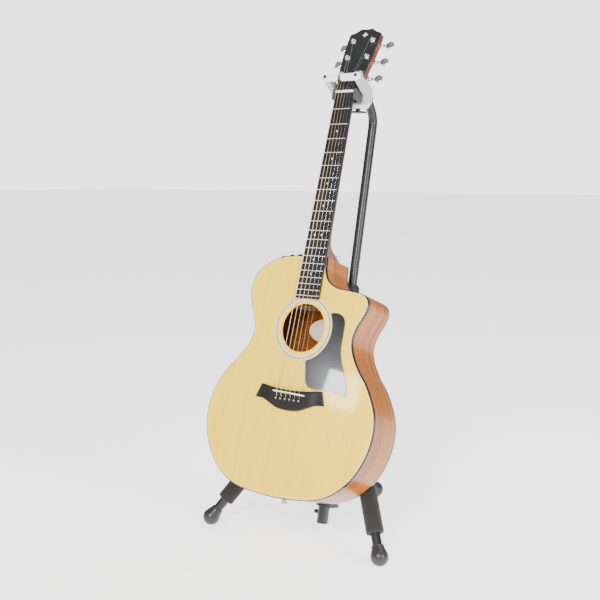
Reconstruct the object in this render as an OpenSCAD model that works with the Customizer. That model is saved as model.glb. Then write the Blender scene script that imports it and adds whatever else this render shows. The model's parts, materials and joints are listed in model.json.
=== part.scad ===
// Acoustic guitar hanging in a folding floor stand with a self-closing yoke.
// World frame: X to the right, Y to the back, Z up, the floor at Z = 0.
// Guitar frame: x to the treble side, y back from the soundboard, z up the neck from the tail.
// Mast frame: z up the column from the floor, y back, square to the column.

/* [Guitar body] */
// Height of the tail end of the soundboard above the guitar frame's zero
tail_z = 9; // [6:1:12]
// Depth of the body on its centre line at the tail
body_depth = 105; // [88:1:126]
// How much shallower the body is at the neck
depth_taper = 11; // [6:1:14]
// Radius of the back's arch across the body
back_radius = 4572; // [3500:1:6000]
// Thickness of the soundboard
top_t = 2.8; // [2.2:0.1:3.4]
// Thickness of the back
back_t = 2.8; // [2.2:0.1:3.4]
// Thickness of the sides, and of the binding strips
side_t = 2; // [1.6:0.1:2.4]
// Height of the binding strips
binding_h = 6; // [4:0.5:7.2]
// Width of the glued linings
lining_w = 7; // [5:0.5:8.4]
// Height of the glued linings
lining_h = 8; // [6.5:0.1:8]
// Radius of the soundhole
hole_r = 50.8; // [42:0.2:54]
// Inner radius of the rosette
rosette_r = 56.5; // [55:0.5:60]
// Width of the rosette
rosette_w = 12; // [8:0.5:14]

/* [Guitar neck] */
// Length of the open strings from nut to saddle
scale_length = 647.7; // [640:0.1:656]
// Place of the saddle above the guitar frame's zero
saddle_z = 219.5; // [216:0.5:222]
// Width of the fretboard at the nut
nut_w = 43.5; // [38:0.5:52]
// Width of the fretboard at its lower end
board_end_w = 56; // [48:0.5:62]
// Number of frets
fret_count = 20; // [17:1:21]
// Thickness of the fretboard
board_t = 6.8; // [5.6:0.1:8.1]
// Depth of the neck below the fretboard at the nut
neck_d = 14; // [12:0.5:17]
// Backward tilt of the headstock
head_tilt = 15; // [13:0.5:17]
// Length of the headstock from nut to crown
head_len = 168; // [160:1:180]
// Thickness of the headstock behind its veneer
head_t = 13.5; // [12:0.5:16]
// Distance of the tuner posts from the centre line
post_x = 24; // [22:0.5:26]

/* [Stand] */
// Backward lean of the hanging guitar
guitar_lean = 19; // [18:0.25:20]
// Backward lean of the column
mast_lean = 13.67; // [13:0.1:14]
// Height of the guitar frame's zero above the floor
hang_h = 110; // [92:1:132]
// Gap between the body's back edge and the foam, set at the column
stand_gap = 0; // [0:0.1:4]
// Outer diameter of the column tube
column_d = 25; // [24:0.5:30]
// Outer diameter of the upper mast tube
mast_d = 20; // [16.7:0.1:21]
// Wall thickness of the upper mast and the leg tubes
tube_wall = 1.5; // [1.2:0.1:1.8]
// Length of the column tube
column_len = 516; // [430:1:560]
// Outer diameter of the leg tubes
leg_d = 20; // [17:0.5:24]
// Outer diameter of the foam sleeves
foam_d = 36; // [30:0.5:36]
// Length of the foam sleeves
foam_len = 200; // [166:1:240]
// Radius of the round rubber feet
foot_r = 18; // [15:0.5:21.6]
// Distance of the front feet from the column's foot, in plan
front_reach = 241.5; // [238:0.5:250]
// Distance of the rear foot from the column's foot, in plan
rear_reach = 241; // [201:1:289]
// Height of the leg hinges up the column
hub_h = 300; // [250:1:330]

/* [Yoke] */
// Distance between the two gate pins
gate_span = 74.8; // [70:0.2:80]
// Width of an arm of the fork
arm_w = 12.5; // [10:0.5:15]
// Height of a gate bar
gate_h = 14; // [12:0.5:16]
// Width of the yoke's housing
housing_w = 38; // [32:1:45]
// How far the cradle drops under the guitar's weight
cradle_travel = 12; // [10:0.5:14]
// Running clearance between pieces that turn or slide, on the radius
fit = 0.05; // [0.02:0.01:0.1]
// Gap kept between pieces that only rest near each other
gap = 0.4; // [0.3:0.1:0.6]

/* [Hidden] */
$fn = 48;

// ---- Shared curves ----

// A point on the smooth curve through four neighbours
function blend_point(a, b, c, d, t) =
    0.5 * (2 * b + (c - a) * t + (2 * a - 5 * b + 4 * c - d) * t * t
    + (3 * b - a - 3 * c + d) * t * t * t);

// A smooth open curve through a list of points
function smooth(p, steps) = [
    for (i = [0 : len(p) - 2]) for (k = [0 : steps - 1])
        blend_point(
            i == 0 ? 2 * p[0] - p[1] : p[i - 1], p[i], p[i + 1],
            i == len(p) - 2 ? 2 * p[i + 1] - p[i] : p[i + 2], k / steps
        ),
    p[len(p) - 1]
];

function unit(v) = v / norm(v);
function left_of(v) = [-v[1], v[0]];
function mirrored(p) = [for (i = [len(p) - 1 : -1 : 0]) [-p[i][0], p[i][1]]];

// A closed outline, drawn anticlockwise, moved inwards by d
function inset(p, d) = [
    for (i = [0 : len(p) - 1])
        let (
            n = len(p),
            u = left_of(unit(p[i] - p[(i + n - 1) % n])),
            v = left_of(unit(p[(i + 1) % n] - p[i]))
        ) p[i] + (u + v) * d / (1 + u * v)
];

// A closed outline whose corners [x, y, radius] are rounded
function rounded(c) = [
    for (i = [0 : len(c) - 1])
        let (
            n = len(c),
            p = [c[i][0], c[i][1]],
            a = unit([c[(i + n - 1) % n][0], c[(i + n - 1) % n][1]] - p),
            b = unit([c[(i + 1) % n][0], c[(i + 1) % n][1]] - p),
            half = acos(a * b) / 2,
            back = c[i][2] / tan(half),
            start = p + a * back,
            end = p + b * back,
            steps = c[i][2] > 0 ? 5 : 0
        )
        for (k = [0 : steps])
            let (t = steps == 0 ? 0 : k / steps, s = 1 - t)
            steps == 0 ? p : s * s * start + 2 * s * t * p + t * t * end
];

// ---- Frames ----

guitar_y = -226;
column_y = guitar_y + 190.6 + (body_depth - 105) / cos(guitar_lean) + stand_gap;
lean_gap = guitar_lean - mast_lean;

module in_guitar() {
    translate([0, guitar_y, hang_h]) rotate([-guitar_lean, 0, 0]) children();
}

module on_mast() {
    translate([0, column_y, 0]) rotate([-mast_lean, 0, 0]) children();
}

// A cylinder from a to b
module rod(a, b, r) {
    v = b - a;
    translate(a)
        rotate([0, acos(v[2] / norm(v)), atan2(v[1], v[0])])
            cylinder(r = r, h = norm(v));
}

// A flat outline in x and z, from y0 back to y1
module slab(points, y0, y1) {
    translate([0, y1, 0]) rotate([90, 0, 0]) linear_extrude(y1 - y0) polygon(points);
}

// A ring between an outline and the same outline moved inwards
module slab_ring(outer, inner, y0, y1) {
    translate([0, y1, 0]) rotate([90, 0, 0]) linear_extrude(y1 - y0) difference() {
        polygon(outer);
        polygon(inner);
    }
}

// ---- Guitar outline ----

lower_half = [
    [66, 4.5], [108, 14], [145, 36], [175, 70], [194, 111], [201, 154],
    [195, 196], [171, 243], [145, 275], [126, 307], [120, 334], [127, 362]
];
bass_shoulder = [
    [141, 394], [147.5, 424], [140, 454], [121, 475], [93, 491], [62, 498], [27, 500]
];
horn = [
    [137, 382], [143, 402], [138, 419], [121, 429], [92, 433], [64, 436.5], [41, 450],
    [31, 469], [28.5, 487], [27, 500]
];
body_top_z = tail_z + 500;

function raised(p) = [for (q = p) [q[0], q[1] + tail_z]];

treble_side = smooth(raised(concat([[0, 0]], lower_half, horn)), 4);
bass_side = smooth(raised(concat([[0, 0]], lower_half, bass_shoulder)), 4);
outline = concat(
    treble_side,
    [for (p = mirrored(bass_side)) if (p[0] < -1) p]
);
plate_outline = inset(outline, side_t);
lining_outline = inset(outline, side_t + lining_w);
brace_outline = inset(outline, side_t + lining_w + 1);
soundhole_z = 356.6;

// Everything in front of the arched back, moved forward by d
module before_back(d) {
    slope = atan(depth_taper / 500);
    translate([0, body_depth - d, tail_z])
        rotate([slope, 0, 0])
            translate([0, -back_radius, -100])
                cylinder(r = back_radius, h = 800, $fn = 720);
}

// ---- Guitar body ----

module soundboard() color("#f3e3a0") in_guitar() difference() {
    slab(plate_outline, 0, top_t);
    translate([0, -1, soundhole_z]) rotate([-90, 0, 0])
        cylinder(r = hole_r, h = top_t + 2, $fn = 96);
    rosette_ring(-1, rosette_depth);
    for (i = [0 : 5]) translate([pin_x(i), -1, pin_z]) rotate([-90, 0, 0])
        cylinder(r = pin_r, h = 9);
}

rosette_depth = 0.8;

module rosette_ring(y0, y1) {
    translate([0, y0, soundhole_z]) rotate([-90, 0, 0]) difference() {
        cylinder(r = rosette_r + rosette_w, h = y1 - y0, $fn = 96);
        translate([0, 0, -1]) cylinder(r = rosette_r, h = y1 - y0 + 2, $fn = 96);
    }
}

module rosette() color("#f6efdc") in_guitar() rosette_ring(0, rosette_depth);

module body_sides() color("#b9824f") in_guitar() difference() {
    intersection() {
        slab_ring(outline, plate_outline, binding_h, body_depth + 10);
        before_back(binding_h);
    }
    for (i = [0 : 2]) at_knob(i) cylinder(r = knob_shaft_r, h = 30, center = true);
    translate([0, jack_y, tail_z - 5]) cylinder(r = jack_r, h = 20);
}

module back_plate() color("#a9713f") in_guitar() difference() {
    intersection() {
        slab(plate_outline, body_depth / 2, body_depth + 10);
        before_back(0);
    }
    before_back(back_t);
}

module bindings() color("#1b1a1a") in_guitar() {
    slab_ring(outline, plate_outline, 0, binding_h);
    difference() {
        intersection() {
            slab_ring(outline, plate_outline, body_depth / 2, body_depth + 10);
            before_back(0);
        }
        before_back(binding_h);
    }
}

// The linings' flat outline, which stops at the end blocks
module lining_shape(y0, y1) {
    translate([0, y1, 0]) rotate([90, 0, 0]) linear_extrude(y1 - y0) difference() {
        polygon(plate_outline);
        polygon(lining_outline);
        translate([-block_w / 2, tail_z - 5]) square([block_w, tail_block_t + 5]);
        translate([-block_w / 2, body_top_z - block_t]) square([block_w, block_t + 5]);
    }
}

module linings() color("#d9c08e") in_guitar() {
    lining_shape(top_t, top_t + lining_h);
    difference() {
        intersection() {
            lining_shape(body_depth / 2, body_depth + 10);
            before_back(back_t);
        }
        before_back(back_t + lining_h);
    }
}

// Room taken by the neck block and the tail block
block_w = 74;
block_t = 55;
tail_block_t = 22;

module block_boxes() {
    translate([-block_w / 2, 0, body_top_z - block_t]) cube([block_w, body_depth + 10, block_t + 5]);
    translate([-block_w / 2, 0, tail_z - 5]) cube([block_w, body_depth + 10, tail_block_t + 5]);
}

module end_blocks() color("#9c6a42") in_guitar() difference() {
    intersection() {
        slab(plate_outline, top_t, body_depth + 10);
        block_boxes();
        before_back(back_t);
    }
    translate([0, jack_y, tail_z - 5]) cylinder(r = jack_r, h = 60);
}

brace_w = 8;
brace_h = 12;
brace_x = 165;
brace_cross = soundhole_z - 1.414 * (hole_r + 2 + brace_w);

// A brace bar from one place on the soundboard to another
module top_bar(a, b) {
    v = b - a;
    translate([a[0], top_t, a[1]])
        rotate([0, -atan2(v[1], v[0]), 0])
            translate([0, 0, -brace_w / 2]) cube([norm(v), brace_h, brace_w]);
}

module braces() color("#e3cf9d") in_guitar() {
    difference() {
        intersection() {
            union() {
                top_bar([-brace_x, brace_cross - brace_x], [brace_x - 55, brace_cross + brace_x - 55]);
                top_bar([brace_x, brace_cross - brace_x], [55 - brace_x, brace_cross + brace_x - 55]);
                top_bar([-140, soundhole_z + 70], [140, soundhole_z + 70]);
                top_bar([-20, 160], [80, 90]);
                top_bar([-45, 110], [30, 60]);
            }
            slab(brace_outline, top_t, top_t + brace_h);
        }
        block_boxes();
        translate([0, 0, soundhole_z]) rotate([-90, 0, 0]) cylinder(r = hole_r + 2, h = 40);
        pin_room();
    }
    difference() {
        intersection() {
            for (z = [95, 190, 300, 400])
                translate([-250, body_depth / 2, tail_z + z]) cube([500, body_depth, brace_w]);
            slab(brace_outline, body_depth / 2, body_depth + 10);
            before_back(back_t);
        }
        before_back(back_t + brace_h);
    }
}

// ---- Bridge ----

bridge_t = 8;
pin_z = saddle_z - 13;
pin_r = 2.5;
function pin_x(i) = -27.5 + 11 * i;
bridge_upper = [[73.5, 12.8], [40, 8.3], [0, 6.5], [-40, 8.3], [-73.5, 12.8]];
bridge_lower = [
    [-83, -15.7], [-62, -17.7], [-45, -24.7], [-25, -32.7], [0, -35.2],
    [25, -32.7], [45, -24.7], [62, -17.7], [83, -15.7]
];
bridge_outline = [
    for (q = concat(smooth(bridge_upper, 4), smooth(bridge_lower, 4))) [q[0], q[1] + saddle_z]
];
saddle_len = 75;
saddle_w = 3;
saddle_top = 12.5;
saddle_skew = 2;

module saddle_block(y0, y1, grow) {
    translate([0, 0, saddle_z]) rotate([0, saddle_skew, 0])
        translate([-saddle_len / 2 - grow, y0, -saddle_w / 2 - grow])
            cube([saddle_len + 2 * grow, y1 - y0, saddle_w + 2 * grow]);
}

module pin_room() {
    for (i = [0 : 5]) translate([pin_x(i), 0, pin_z]) rotate([-90, 0, 0])
        cylinder(r = pin_r + 1, h = 30);
}

module bridge() color("#2a2725") in_guitar() difference() {
    slab(bridge_outline, -bridge_t, 0);
    saddle_block(-bridge_t - 1, -3, 0);
    for (i = [0 : 5])
        translate([pin_x(i), -bridge_t - 1, pin_z]) rotate([-90, 0, 0]) cylinder(r = pin_r, h = bridge_t + 2);
}

module saddle() color("#f4f0e6") in_guitar() saddle_block(-saddle_top, -3, 0);

module bridge_pins() color("#161514") in_guitar() for (i = [0 : 5])
    translate([pin_x(i), 0, pin_z]) rotate([-90, 0, 0]) {
        translate([0, 0, -bridge_t]) cylinder(r = pin_r, h = bridge_t + 12);
        translate([0, 0, -bridge_t - 2.4]) cylinder(r = 3.7, h = 2.4);
        intersection() {
            translate([0, 0, -bridge_t - 2.4]) sphere(r = 3.7);
            translate([0, 0, -bridge_t - 6.4]) cylinder(r = 4, h = 4);
        }
    }

// ---- Pickguard ----

guard_r = rosette_r + rosette_w + 1;
guard_top = 30;
guard_outline = [
    for (q = smooth([
        guard_r * [cos(guard_top), sin(guard_top)], [73, 37], [89, 32], [97.5, 18], [98.5, -9],
        [99, -36], [104, -57], [115, -82], [125, -108], [125, -131]
    ], 4)) q,
    for (q = smooth([
        [125, -131], [106, -125.5], [82, -121.5], [58.5, -122], [38.5, -119.5], [29, -108.5],
        [24, -86], guard_r * [cos(73), -sin(73)]
    ], 3)) if (q[0] < 124) q,
    for (a = [-65 : 12 : guard_top - 5]) guard_r * [cos(a), sin(a)]
];

module pickguard() color("#191b20") in_guitar()
    slab([for (q = guard_outline) [q[0], q[1] + soundhole_z]], -1.2, 0);

// ---- Neck ----

nut_z = saddle_z + scale_length;
nut_t = 4.8;
board_end_z = nut_z - scale_length * (1 - pow(2, -(fret_count + 0.5) / 12)) ;
function board_half(z) =
    nut_w / 2 + (board_end_w - nut_w) / 2 * (nut_z - z) / (nut_z - board_end_z);
function fret_z(n) = nut_z - scale_length * (1 - pow(2, -n / 12));
head_z = nut_z + nut_t;
head_y = -4;
veneer_t = 1.6;

module in_head() {
    translate([0, head_y, head_z]) rotate([-head_tilt, 0, 0]) children();
}

function head_edge(s) = s * head_len;
head_half = smooth([
    [nut_w / 2, 0], [nut_w / 2 + 1.6, head_edge(0.06)], [nut_w / 2 + 8.5, head_edge(0.2)],
    [nut_w / 2 + 12, head_edge(0.36)], [nut_w / 2 + 15, head_edge(0.55)],
    [nut_w / 2 + 16.5, head_edge(0.76)], [nut_w / 2 + 16.8, head_edge(0.915)]
], 3);
head_crown = smooth([
    [nut_w / 2 + 16.8, head_edge(0.915)], [nut_w / 2 + 5, head_edge(0.945)],
    [nut_w / 2 - 3, head_edge(0.975)], [12.8, head_edge(1)]
], 3);
head_outline = concat(
    head_half, head_crown, [[5, head_edge(0.992)], [-5, head_edge(0.992)]],
    mirrored(head_crown), mirrored(head_half)
);

heel_z = body_top_z;
heel_depth = body_depth - depth_taper - 8;
rod_w = 6.4;
heel_button_at = [20, neck_d + 32, heel_z + 8];

// How far the neck reaches back, at heights above the heel's foot
neck_depths = [
    [gap, heel_depth], [7, heel_depth - 2], [12, heel_depth * 0.78], [18, heel_depth * 0.52],
    [26, heel_depth * 0.36], [37, neck_d + 11], [50, neck_d + 6.5], [66, neck_d + 4],
    [nut_z - heel_z - 14, neck_d], [head_z - heel_z + 3, neck_d + 1]
];
neck_sides = 20;

// Half ellipses joined up the neck: z up the neck, the flat front at y = 0
module neck_shank() {
    n = neck_sides + 1;
    m = len(neck_depths);
    polyhedron(
        points = [
            for (q = neck_depths) for (k = [0 : neck_sides])
                let (half = board_half(min(q[0] + heel_z, nut_z)) - 0.2)
                [-half * cos(180 * k / neck_sides), q[1] * sin(180 * k / neck_sides), q[0] + heel_z]
        ],
        faces = concat(
            [[for (k = [n - 1 : -1 : 0]) k]],
            [[for (k = [0 : n - 1]) (m - 1) * n + k]],
            [
                for (i = [0 : m - 2]) for (k = [0 : n - 1])
                    let (a = i * n + k, b = i * n + (k + 1) % n)
                    each [[a, b, a + n], [b, b + n, a + n]]
            ]
        )
    );
}

module neck() color("#8d4f34") in_guitar() difference() {
    union() {
        neck_shank();
        in_head() translate([0, veneer_t + head_t, 0]) rotate([90, 0, 0])
            linear_extrude(head_t) polygon(head_outline);
    }
    translate([-rod_w / 2, -1, heel_z + 20]) cube([rod_w, 10, head_z - heel_z - 30]);
    translate(heel_button_at) rotate([0, 90, 0]) cylinder(r = 4, h = 20);
    in_head() for (s = [-1, 1], k = [0 : 2])
        translate([s * post_x, 0, post_s(k)]) rotate([-90, 0, 0]) cylinder(r = post_hole_r, h = 40);
    head_front();
}

// Room in front of the headstock's veneer line and behind the nut
module head_front() {
    in_head() translate([-60, veneer_t - 30, 0]) cube([120, 30, 200]);
    translate([-60, -20, nut_z - 200]) cube([120, 20, 200 + nut_t]);
}

module fretboard() color("#2b2522") in_guitar()
    slab([
        [-board_half(board_end_z), board_end_z], [board_half(board_end_z), board_end_z],
        [nut_w / 2, nut_z], [-nut_w / 2, nut_z]
    ], -board_t, 0);

fret_h = 1.1;
fret_w = 2.2;

module frets() color("#d8d8da") in_guitar() for (n = [1 : fret_count])
    translate([-board_half(fret_z(n)) + 0.3, -board_t - fret_h, fret_z(n) - fret_w / 2])
        cube([2 * board_half(fret_z(n)) - 0.6, fret_h, fret_w]);

dot_r = 2;
dot_h = 0.15;

module fret_dot(x, n) {
    translate([x, -board_t - dot_h, (fret_z(n) + fret_z(n - 1)) / 2])
        rotate([-90, 0, 0]) cylinder(r = dot_r, h = dot_h);
}

module fret_dots() color("#efece2") in_guitar() {
    for (n = [3, 5, 7, 9, 15, 17]) fret_dot(0, n);
    for (x = [-8.5, 8.5]) fret_dot(x, 12);
}

nut_h = 9;

module nut() color("#f4f0e6") in_guitar()
    translate([-nut_w / 2, -nut_h, nut_z]) cube([nut_w, nut_h, nut_t]);

module headstock_veneer() color("#1c1d22") in_guitar() difference() {
    in_head() difference() {
        translate([0, veneer_t, 0]) rotate([90, 0, 0]) linear_extrude(veneer_t) polygon(head_outline);
        for (s = [-1, 1], k = [0 : 2])
            translate([s * post_x, -5, post_s(k)]) rotate([-90, 0, 0]) cylinder(r = post_hole_r, h = 20);
    }
    translate([-60, -20, nut_z - 20]) cube([120, 60, 20 + nut_t]);
}

module truss_rod() color("#9a9ca0") in_guitar()
    translate([0, rod_w / 2 + 0.2, heel_z + 25]) cylinder(r = rod_w / 2 - 0.2, h = head_z - heel_z - 45);

module truss_rod_cover() color("#141519") in_guitar() in_head()
    translate([0, 0, 0]) rotate([90, 0, 0]) linear_extrude(1.5) polygon(concat(
        smooth([[-14, 6], [-13, 14], [-7, 26], [-6.5, 40], [-5, 54], [0, 60]], 3),
        smooth([[0, 60], [5, 54], [6.5, 40], [7, 26], [13, 14], [14, 6]], 3)
    ));

// ---- Tuners ----

post_hole_r = 4.6;
post_r = 3;
post_top = 8;
function post_s(k) = head_edge(0.262 + 0.268 * k);
button_x = 57;
shaft_r = 2;
worm_y = veneer_t + head_t + 6;

module each_post() {
    for (s = [-1, 1], k = [0 : 2]) in_head() translate([s * post_x, 0, post_s(k)]) children();
}

module tuner_posts() color("#d4d6da") in_guitar() each_post() rotate([-90, 0, 0]) {
    translate([0, 0, -post_top]) cylinder(r = post_r, h = post_top + veneer_t + head_t);
}

module tuner_bushings() color("#c9ccd2") in_guitar() each_post() rotate([-90, 0, 0]) difference() {
    union() {
        translate([0, 0, -2.4]) cylinder(r = 6, h = 2.4);
        cylinder(r = post_hole_r, h = veneer_t + head_t);
    }
    translate([0, 0, -5]) cylinder(r = post_r, h = 30);
}

module tuner_housings() color("#c9ccd2") in_guitar() for (s = [-1, 1], k = [0 : 2])
    in_head() translate([s * post_x, veneer_t + head_t, post_s(k)]) mirror([s < 0 ? 1 : 0, 0, 0])
        difference() {
            union() {
                translate([-8, 0, -8]) cube([16, 12, 16]);
                translate([8, 6, 0]) rotate([0, 90, 0]) cylinder(r = 4.2, h = 6);
                translate([-4, 0, -13]) cube([8, 1.6, 26]);
            }
            translate([-20, 6, 0]) rotate([0, 90, 0]) cylinder(r = shaft_r + fit, h = 50);
        }

// A tuner's shaft with its button, on the treble side for odd s
module tuner(s, k) {
    color("#d0d3d8") in_guitar() in_head()
    translate([s * post_x, worm_y, post_s(k)]) mirror([s < 0 ? 1 : 0, 0, 0]) {
        translate([-7, 0, 0]) rotate([0, 90, 0]) cylinder(r = shaft_r, h = button_x - post_x);
        translate([14 + gap, 0, 0]) rotate([0, 90, 0]) cylinder(r = 3, h = 8);
        translate([button_x - post_x, 0, 0]) rotate([90, 0, 0]) translate([0, 0, -3])
            linear_extrude(6) polygon(rounded([
                [-9, -4, 3], [-2, -10, 4], [9, -10, 6], [9, 10, 6], [-2, 10, 4], [-9, 4, 3]
            ]));
    }
}

module tuner_1() tuner(-1, 0);
module tuner_2() tuner(-1, 1);
module tuner_3() tuner(-1, 2);
module tuner_4() tuner(1, 2);
module tuner_5() tuner(1, 1);
module tuner_6() tuner(1, 0);

// ---- Strings ----

string_d = [1.35, 1.07, 0.81, 0.61, 0.41, 0.3];
string_spread_nut = 36.5;
string_sides = 8;
winding_turns = 2;
winding_steps = 10;
function string_post(i) = [i < 3 ? -1 : 1, i < 3 ? i : 5 - i];
function head_point(x, y, s) = [
    x, head_y + y * cos(head_tilt) + s * sin(head_tilt),
    head_z - y * sin(head_tilt) + s * cos(head_tilt)
];

// A round tube of radius r swept along a route that is never parallel to y
module swept_tube(route, r) {
    n = len(route);
    rings = [
        for (i = [0 : n - 1])
            let (
                along = unit(route[min(i + 1, n - 1)] - route[max(i - 1, 0)]),
                u = unit(cross(along, [0, 1, 0])),
                v = cross(u, along)
            )
            for (k = [0 : string_sides - 1])
                route[i] + r * (u * cos(k * 360 / string_sides) + v * sin(k * 360 / string_sides))
    ];
    polyhedron(
        points = rings,
        faces = concat(
            [[for (k = [0 : string_sides - 1]) string_sides - 1 - k]],
            [[for (k = [0 : string_sides - 1]) (n - 1) * string_sides + k]],
            [
                for (i = [0 : n - 2]) for (k = [0 : string_sides - 1])
                    let (a = i * string_sides + k, b = i * string_sides + (k + 1) % string_sides)
                    [a, b, b + string_sides, a + string_sides]
            ]
        )
    );
}

// The turns of a string round its post, as points in the guitar frame
function windings(side, s, r) = [
    for (k = [0 : winding_turns * winding_steps])
        let (a = side * k * 360 / winding_steps, out = (post_r + r + gap / 4) / cos(180 / winding_steps))
        head_point(
            side * (post_x - out * cos(a)), -6.4 + r + k * (2 * r + 0.1) / winding_steps,
            s + side * out * sin(a)
        )
];

module one_string(i) {
    r = string_d[i] / 2;
    side = string_post(i)[0];
    x0 = pin_x(i);
    x1 = (i - 2.5) * string_spread_nut / 5;
    swept_tube(concat(
        [
            [x0, -bridge_t - r - gap, pin_z + 5.5],
            for (s = [-1, 1])
                [x0, -saddle_top - r - gap / 4, saddle_z - x0 * tan(saddle_skew) + s * (saddle_w / 2 + 0.4)],
            for (z = [-0.4, nut_t + 0.4]) [x1, -nut_h - r - gap / 4, nut_z + z]
        ],
        windings(side, post_s(string_post(i)[1]), r)
    ), r);
}

module strings() color("#b79a6a") in_guitar() for (i = [0 : 5]) one_string(i);

// ---- Hardware on the body ----

jack_y = 50;
jack_r = 5;
knob_shaft_r = 3;
knob_y = 14;
knob_spots = [[-48, 508.2], [-68, 506], [-88, 501.8]];
knob_tilts = [4, 9, 15];

// Frame of a control knob, z outwards from the side
module at_knob(i) {
    translate([knob_spots[i][0], knob_y, knob_spots[i][1] - 9 + tail_z])
        rotate([0, -knob_tilts[i], 0]) children();
}

module knob(i) {
    color("#1d1d1f") in_guitar() at_knob(i) {
        translate([0, 0, gap + 0.4]) cylinder(r1 = 5.5, r2 = 4.9, h = 5);
        translate([0, 0, -14]) cylinder(r = knob_shaft_r - fit, h = 15);
    }
}

module knob_1() knob(0);
module knob_2() knob(1);
module knob_3() knob(2);

module preamp() color("#2c2e33") in_guitar() difference() {
    union() {
        for (i = [0 : 2]) at_knob(i) translate([0, 0, -14]) cylinder(r = 6, h = 5);
        at_knob(1) translate([-34, -8, -28]) cube([58, 24, 15]);
    }
    for (i = [0 : 2]) at_knob(i) translate([0, 0, -15]) cylinder(r = knob_shaft_r, h = 20);
}

module strap_buttons() color("#c9ccd2") in_guitar() {
    translate([0, jack_y, 0]) {
        translate([0, 0, tail_z]) cylinder(r = jack_r, h = 40);
        translate([0, 0, tail_z - 2]) cylinder(r = 9, h = 2);
        translate([0, 0, tail_z - 9]) cylinder(r = 6, h = 7);
        translate([0, 0, tail_z - 11]) cylinder(r = 8, h = 2);
    }
    translate(heel_button_at) rotate([0, 90, 0]) {
        cylinder(r = 4, h = 6);
        translate([0, 0, 6]) cylinder(r = 6.5, h = 2.5);
    }
}

// ---- Stand: column, hub and legs ----

column_start = 10;
column_top = column_start + column_len;
bore_r = mast_d / 2 + fit;
hub_size = 34;
hinge_r = 47;
leg_turn = 60;
pin_d = 6;
foot_z = foot_r - 0.4;

// Position in the mast frame of a world point given as x, y from the column's foot, and z
function to_mast(p) = [
    p[0], p[1] * cos(mast_lean) - p[2] * sin(mast_lean),
    p[1] * sin(mast_lean) + p[2] * cos(mast_lean)
];

front_foot = to_mast([
    front_reach * sin(leg_turn), -front_reach * cos(leg_turn), foot_z
]);
leg_azimuth = atan2(front_foot[0], -front_foot[1]);
hinge = [hinge_r * sin(leg_azimuth), -hinge_r * cos(leg_azimuth), hub_h];
leg_reach = norm(front_foot - hinge);
leg_out = atan2(
    norm([front_foot[0], front_foot[1]]) - hinge_r, hinge[2] - front_foot[2]
);

// Frame of a front leg: z runs down the leg from its hinge, x along the hinge pin
module on_leg(side) {
    on_mast() translate([side * hinge_r * sin(leg_azimuth), -hinge_r * cos(leg_azimuth), hub_h])
        rotate([0, 0, side * leg_azimuth]) rotate([180 - leg_out, 0, 0]) children();
}

module column_tube() color("#47484a") on_mast() difference() {
    translate([0, 0, column_start]) cylinder(d = column_d, h = column_len);
    translate([0, 0, column_start - 1]) cylinder(r = bore_r, h = column_len + 2);
}

module column_plug() color("#1d1d1e") on_mast() {
    translate([0, 0, column_start - 3]) cylinder(d = column_d, h = 3);
    translate([0, 0, column_start]) cylinder(r = bore_r, h = 16);
}

bracket_z = 44;
bracket_h = 24;
bracket_r = column_d / 2 + 4;
rear_pin_y = 34;
rear_pin_z = 50;
ear_gap = leg_d / 2 + gap;
ear_t = 4;
ear_r = 9;

module base_bracket() color("#26272a") on_mast() difference() {
    union() {
        translate([0, 0, bracket_z]) cylinder(r = bracket_r, h = bracket_h);
        for (s = [-1, 1]) translate([s * (ear_gap + ear_t / 2) - ear_t / 2, 0, rear_pin_z - ear_r])
            cube([ear_t, rear_pin_y, 2 * ear_r]);
        for (s = [-1, 1]) translate([s * (ear_gap + ear_t / 2) - ear_t / 2, rear_pin_y, rear_pin_z])
            rotate([0, 90, 0]) cylinder(r = ear_r, h = ear_t);
    }
    cylinder(d = column_d, h = 200);
    translate([-40, rear_pin_y, rear_pin_z]) rotate([0, 90, 0]) cylinder(d = pin_d, h = 80);
    translate([-40, 0, bracket_z + 19]) rotate([0, 90, 0]) cylinder(d = 5, h = 40);
}

module base_screw() color("#131314") on_mast() {
    translate([-bracket_r - 5, 0, bracket_z - 14]) rotate([0, 90, 0])
        cylinder(r = 4.5, h = 5 + bracket_r - column_d / 2);
    translate([-column_d / 2 - 5, 0, bracket_z + 19]) rotate([0, 90, 0]) cylinder(d = 5, h = 5);
}

module hinge_pins() color("#a8aaad") {
    on_mast() translate([-ear_gap - ear_t - 2, rear_pin_y, rear_pin_z]) rotate([0, 90, 0])
        cylinder(d = pin_d, h = 2 * (ear_gap + ear_t + 2));
    for (s = [-1, 1]) on_leg(s) translate([-cheek_out - 2, 0, 0]) rotate([0, 90, 0])
        cylinder(d = pin_d, h = 2 * (cheek_out + 2));
}

eye_half = 6;
cheek_in = eye_half + gap;
cheek_out = cheek_in + 4;

module leg_hub() color("#26272a") difference() {
    union() {
        on_mast() translate([0, 0, hub_h - hub_size / 2]) cylinder(r = column_d / 2 + 6, h = hub_size);
        for (s = [-1, 1], c = [-1, 1]) on_mast() rotate([0, 0, s * leg_azimuth])
            translate([c * (cheek_in + cheek_out) / 2 - 2, -hinge_r, hub_h]) {
                translate([0, 0, -11]) cube([4, hinge_r, 22]);
                rotate([0, 90, 0]) cylinder(r = 11, h = 4);
            }
    }
    on_mast() cylinder(d = column_d, h = 600);
    for (s = [-1, 1]) on_leg(s) rotate([0, 90, 0]) cylinder(d = pin_d, h = 60, center = true);
}

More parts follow.
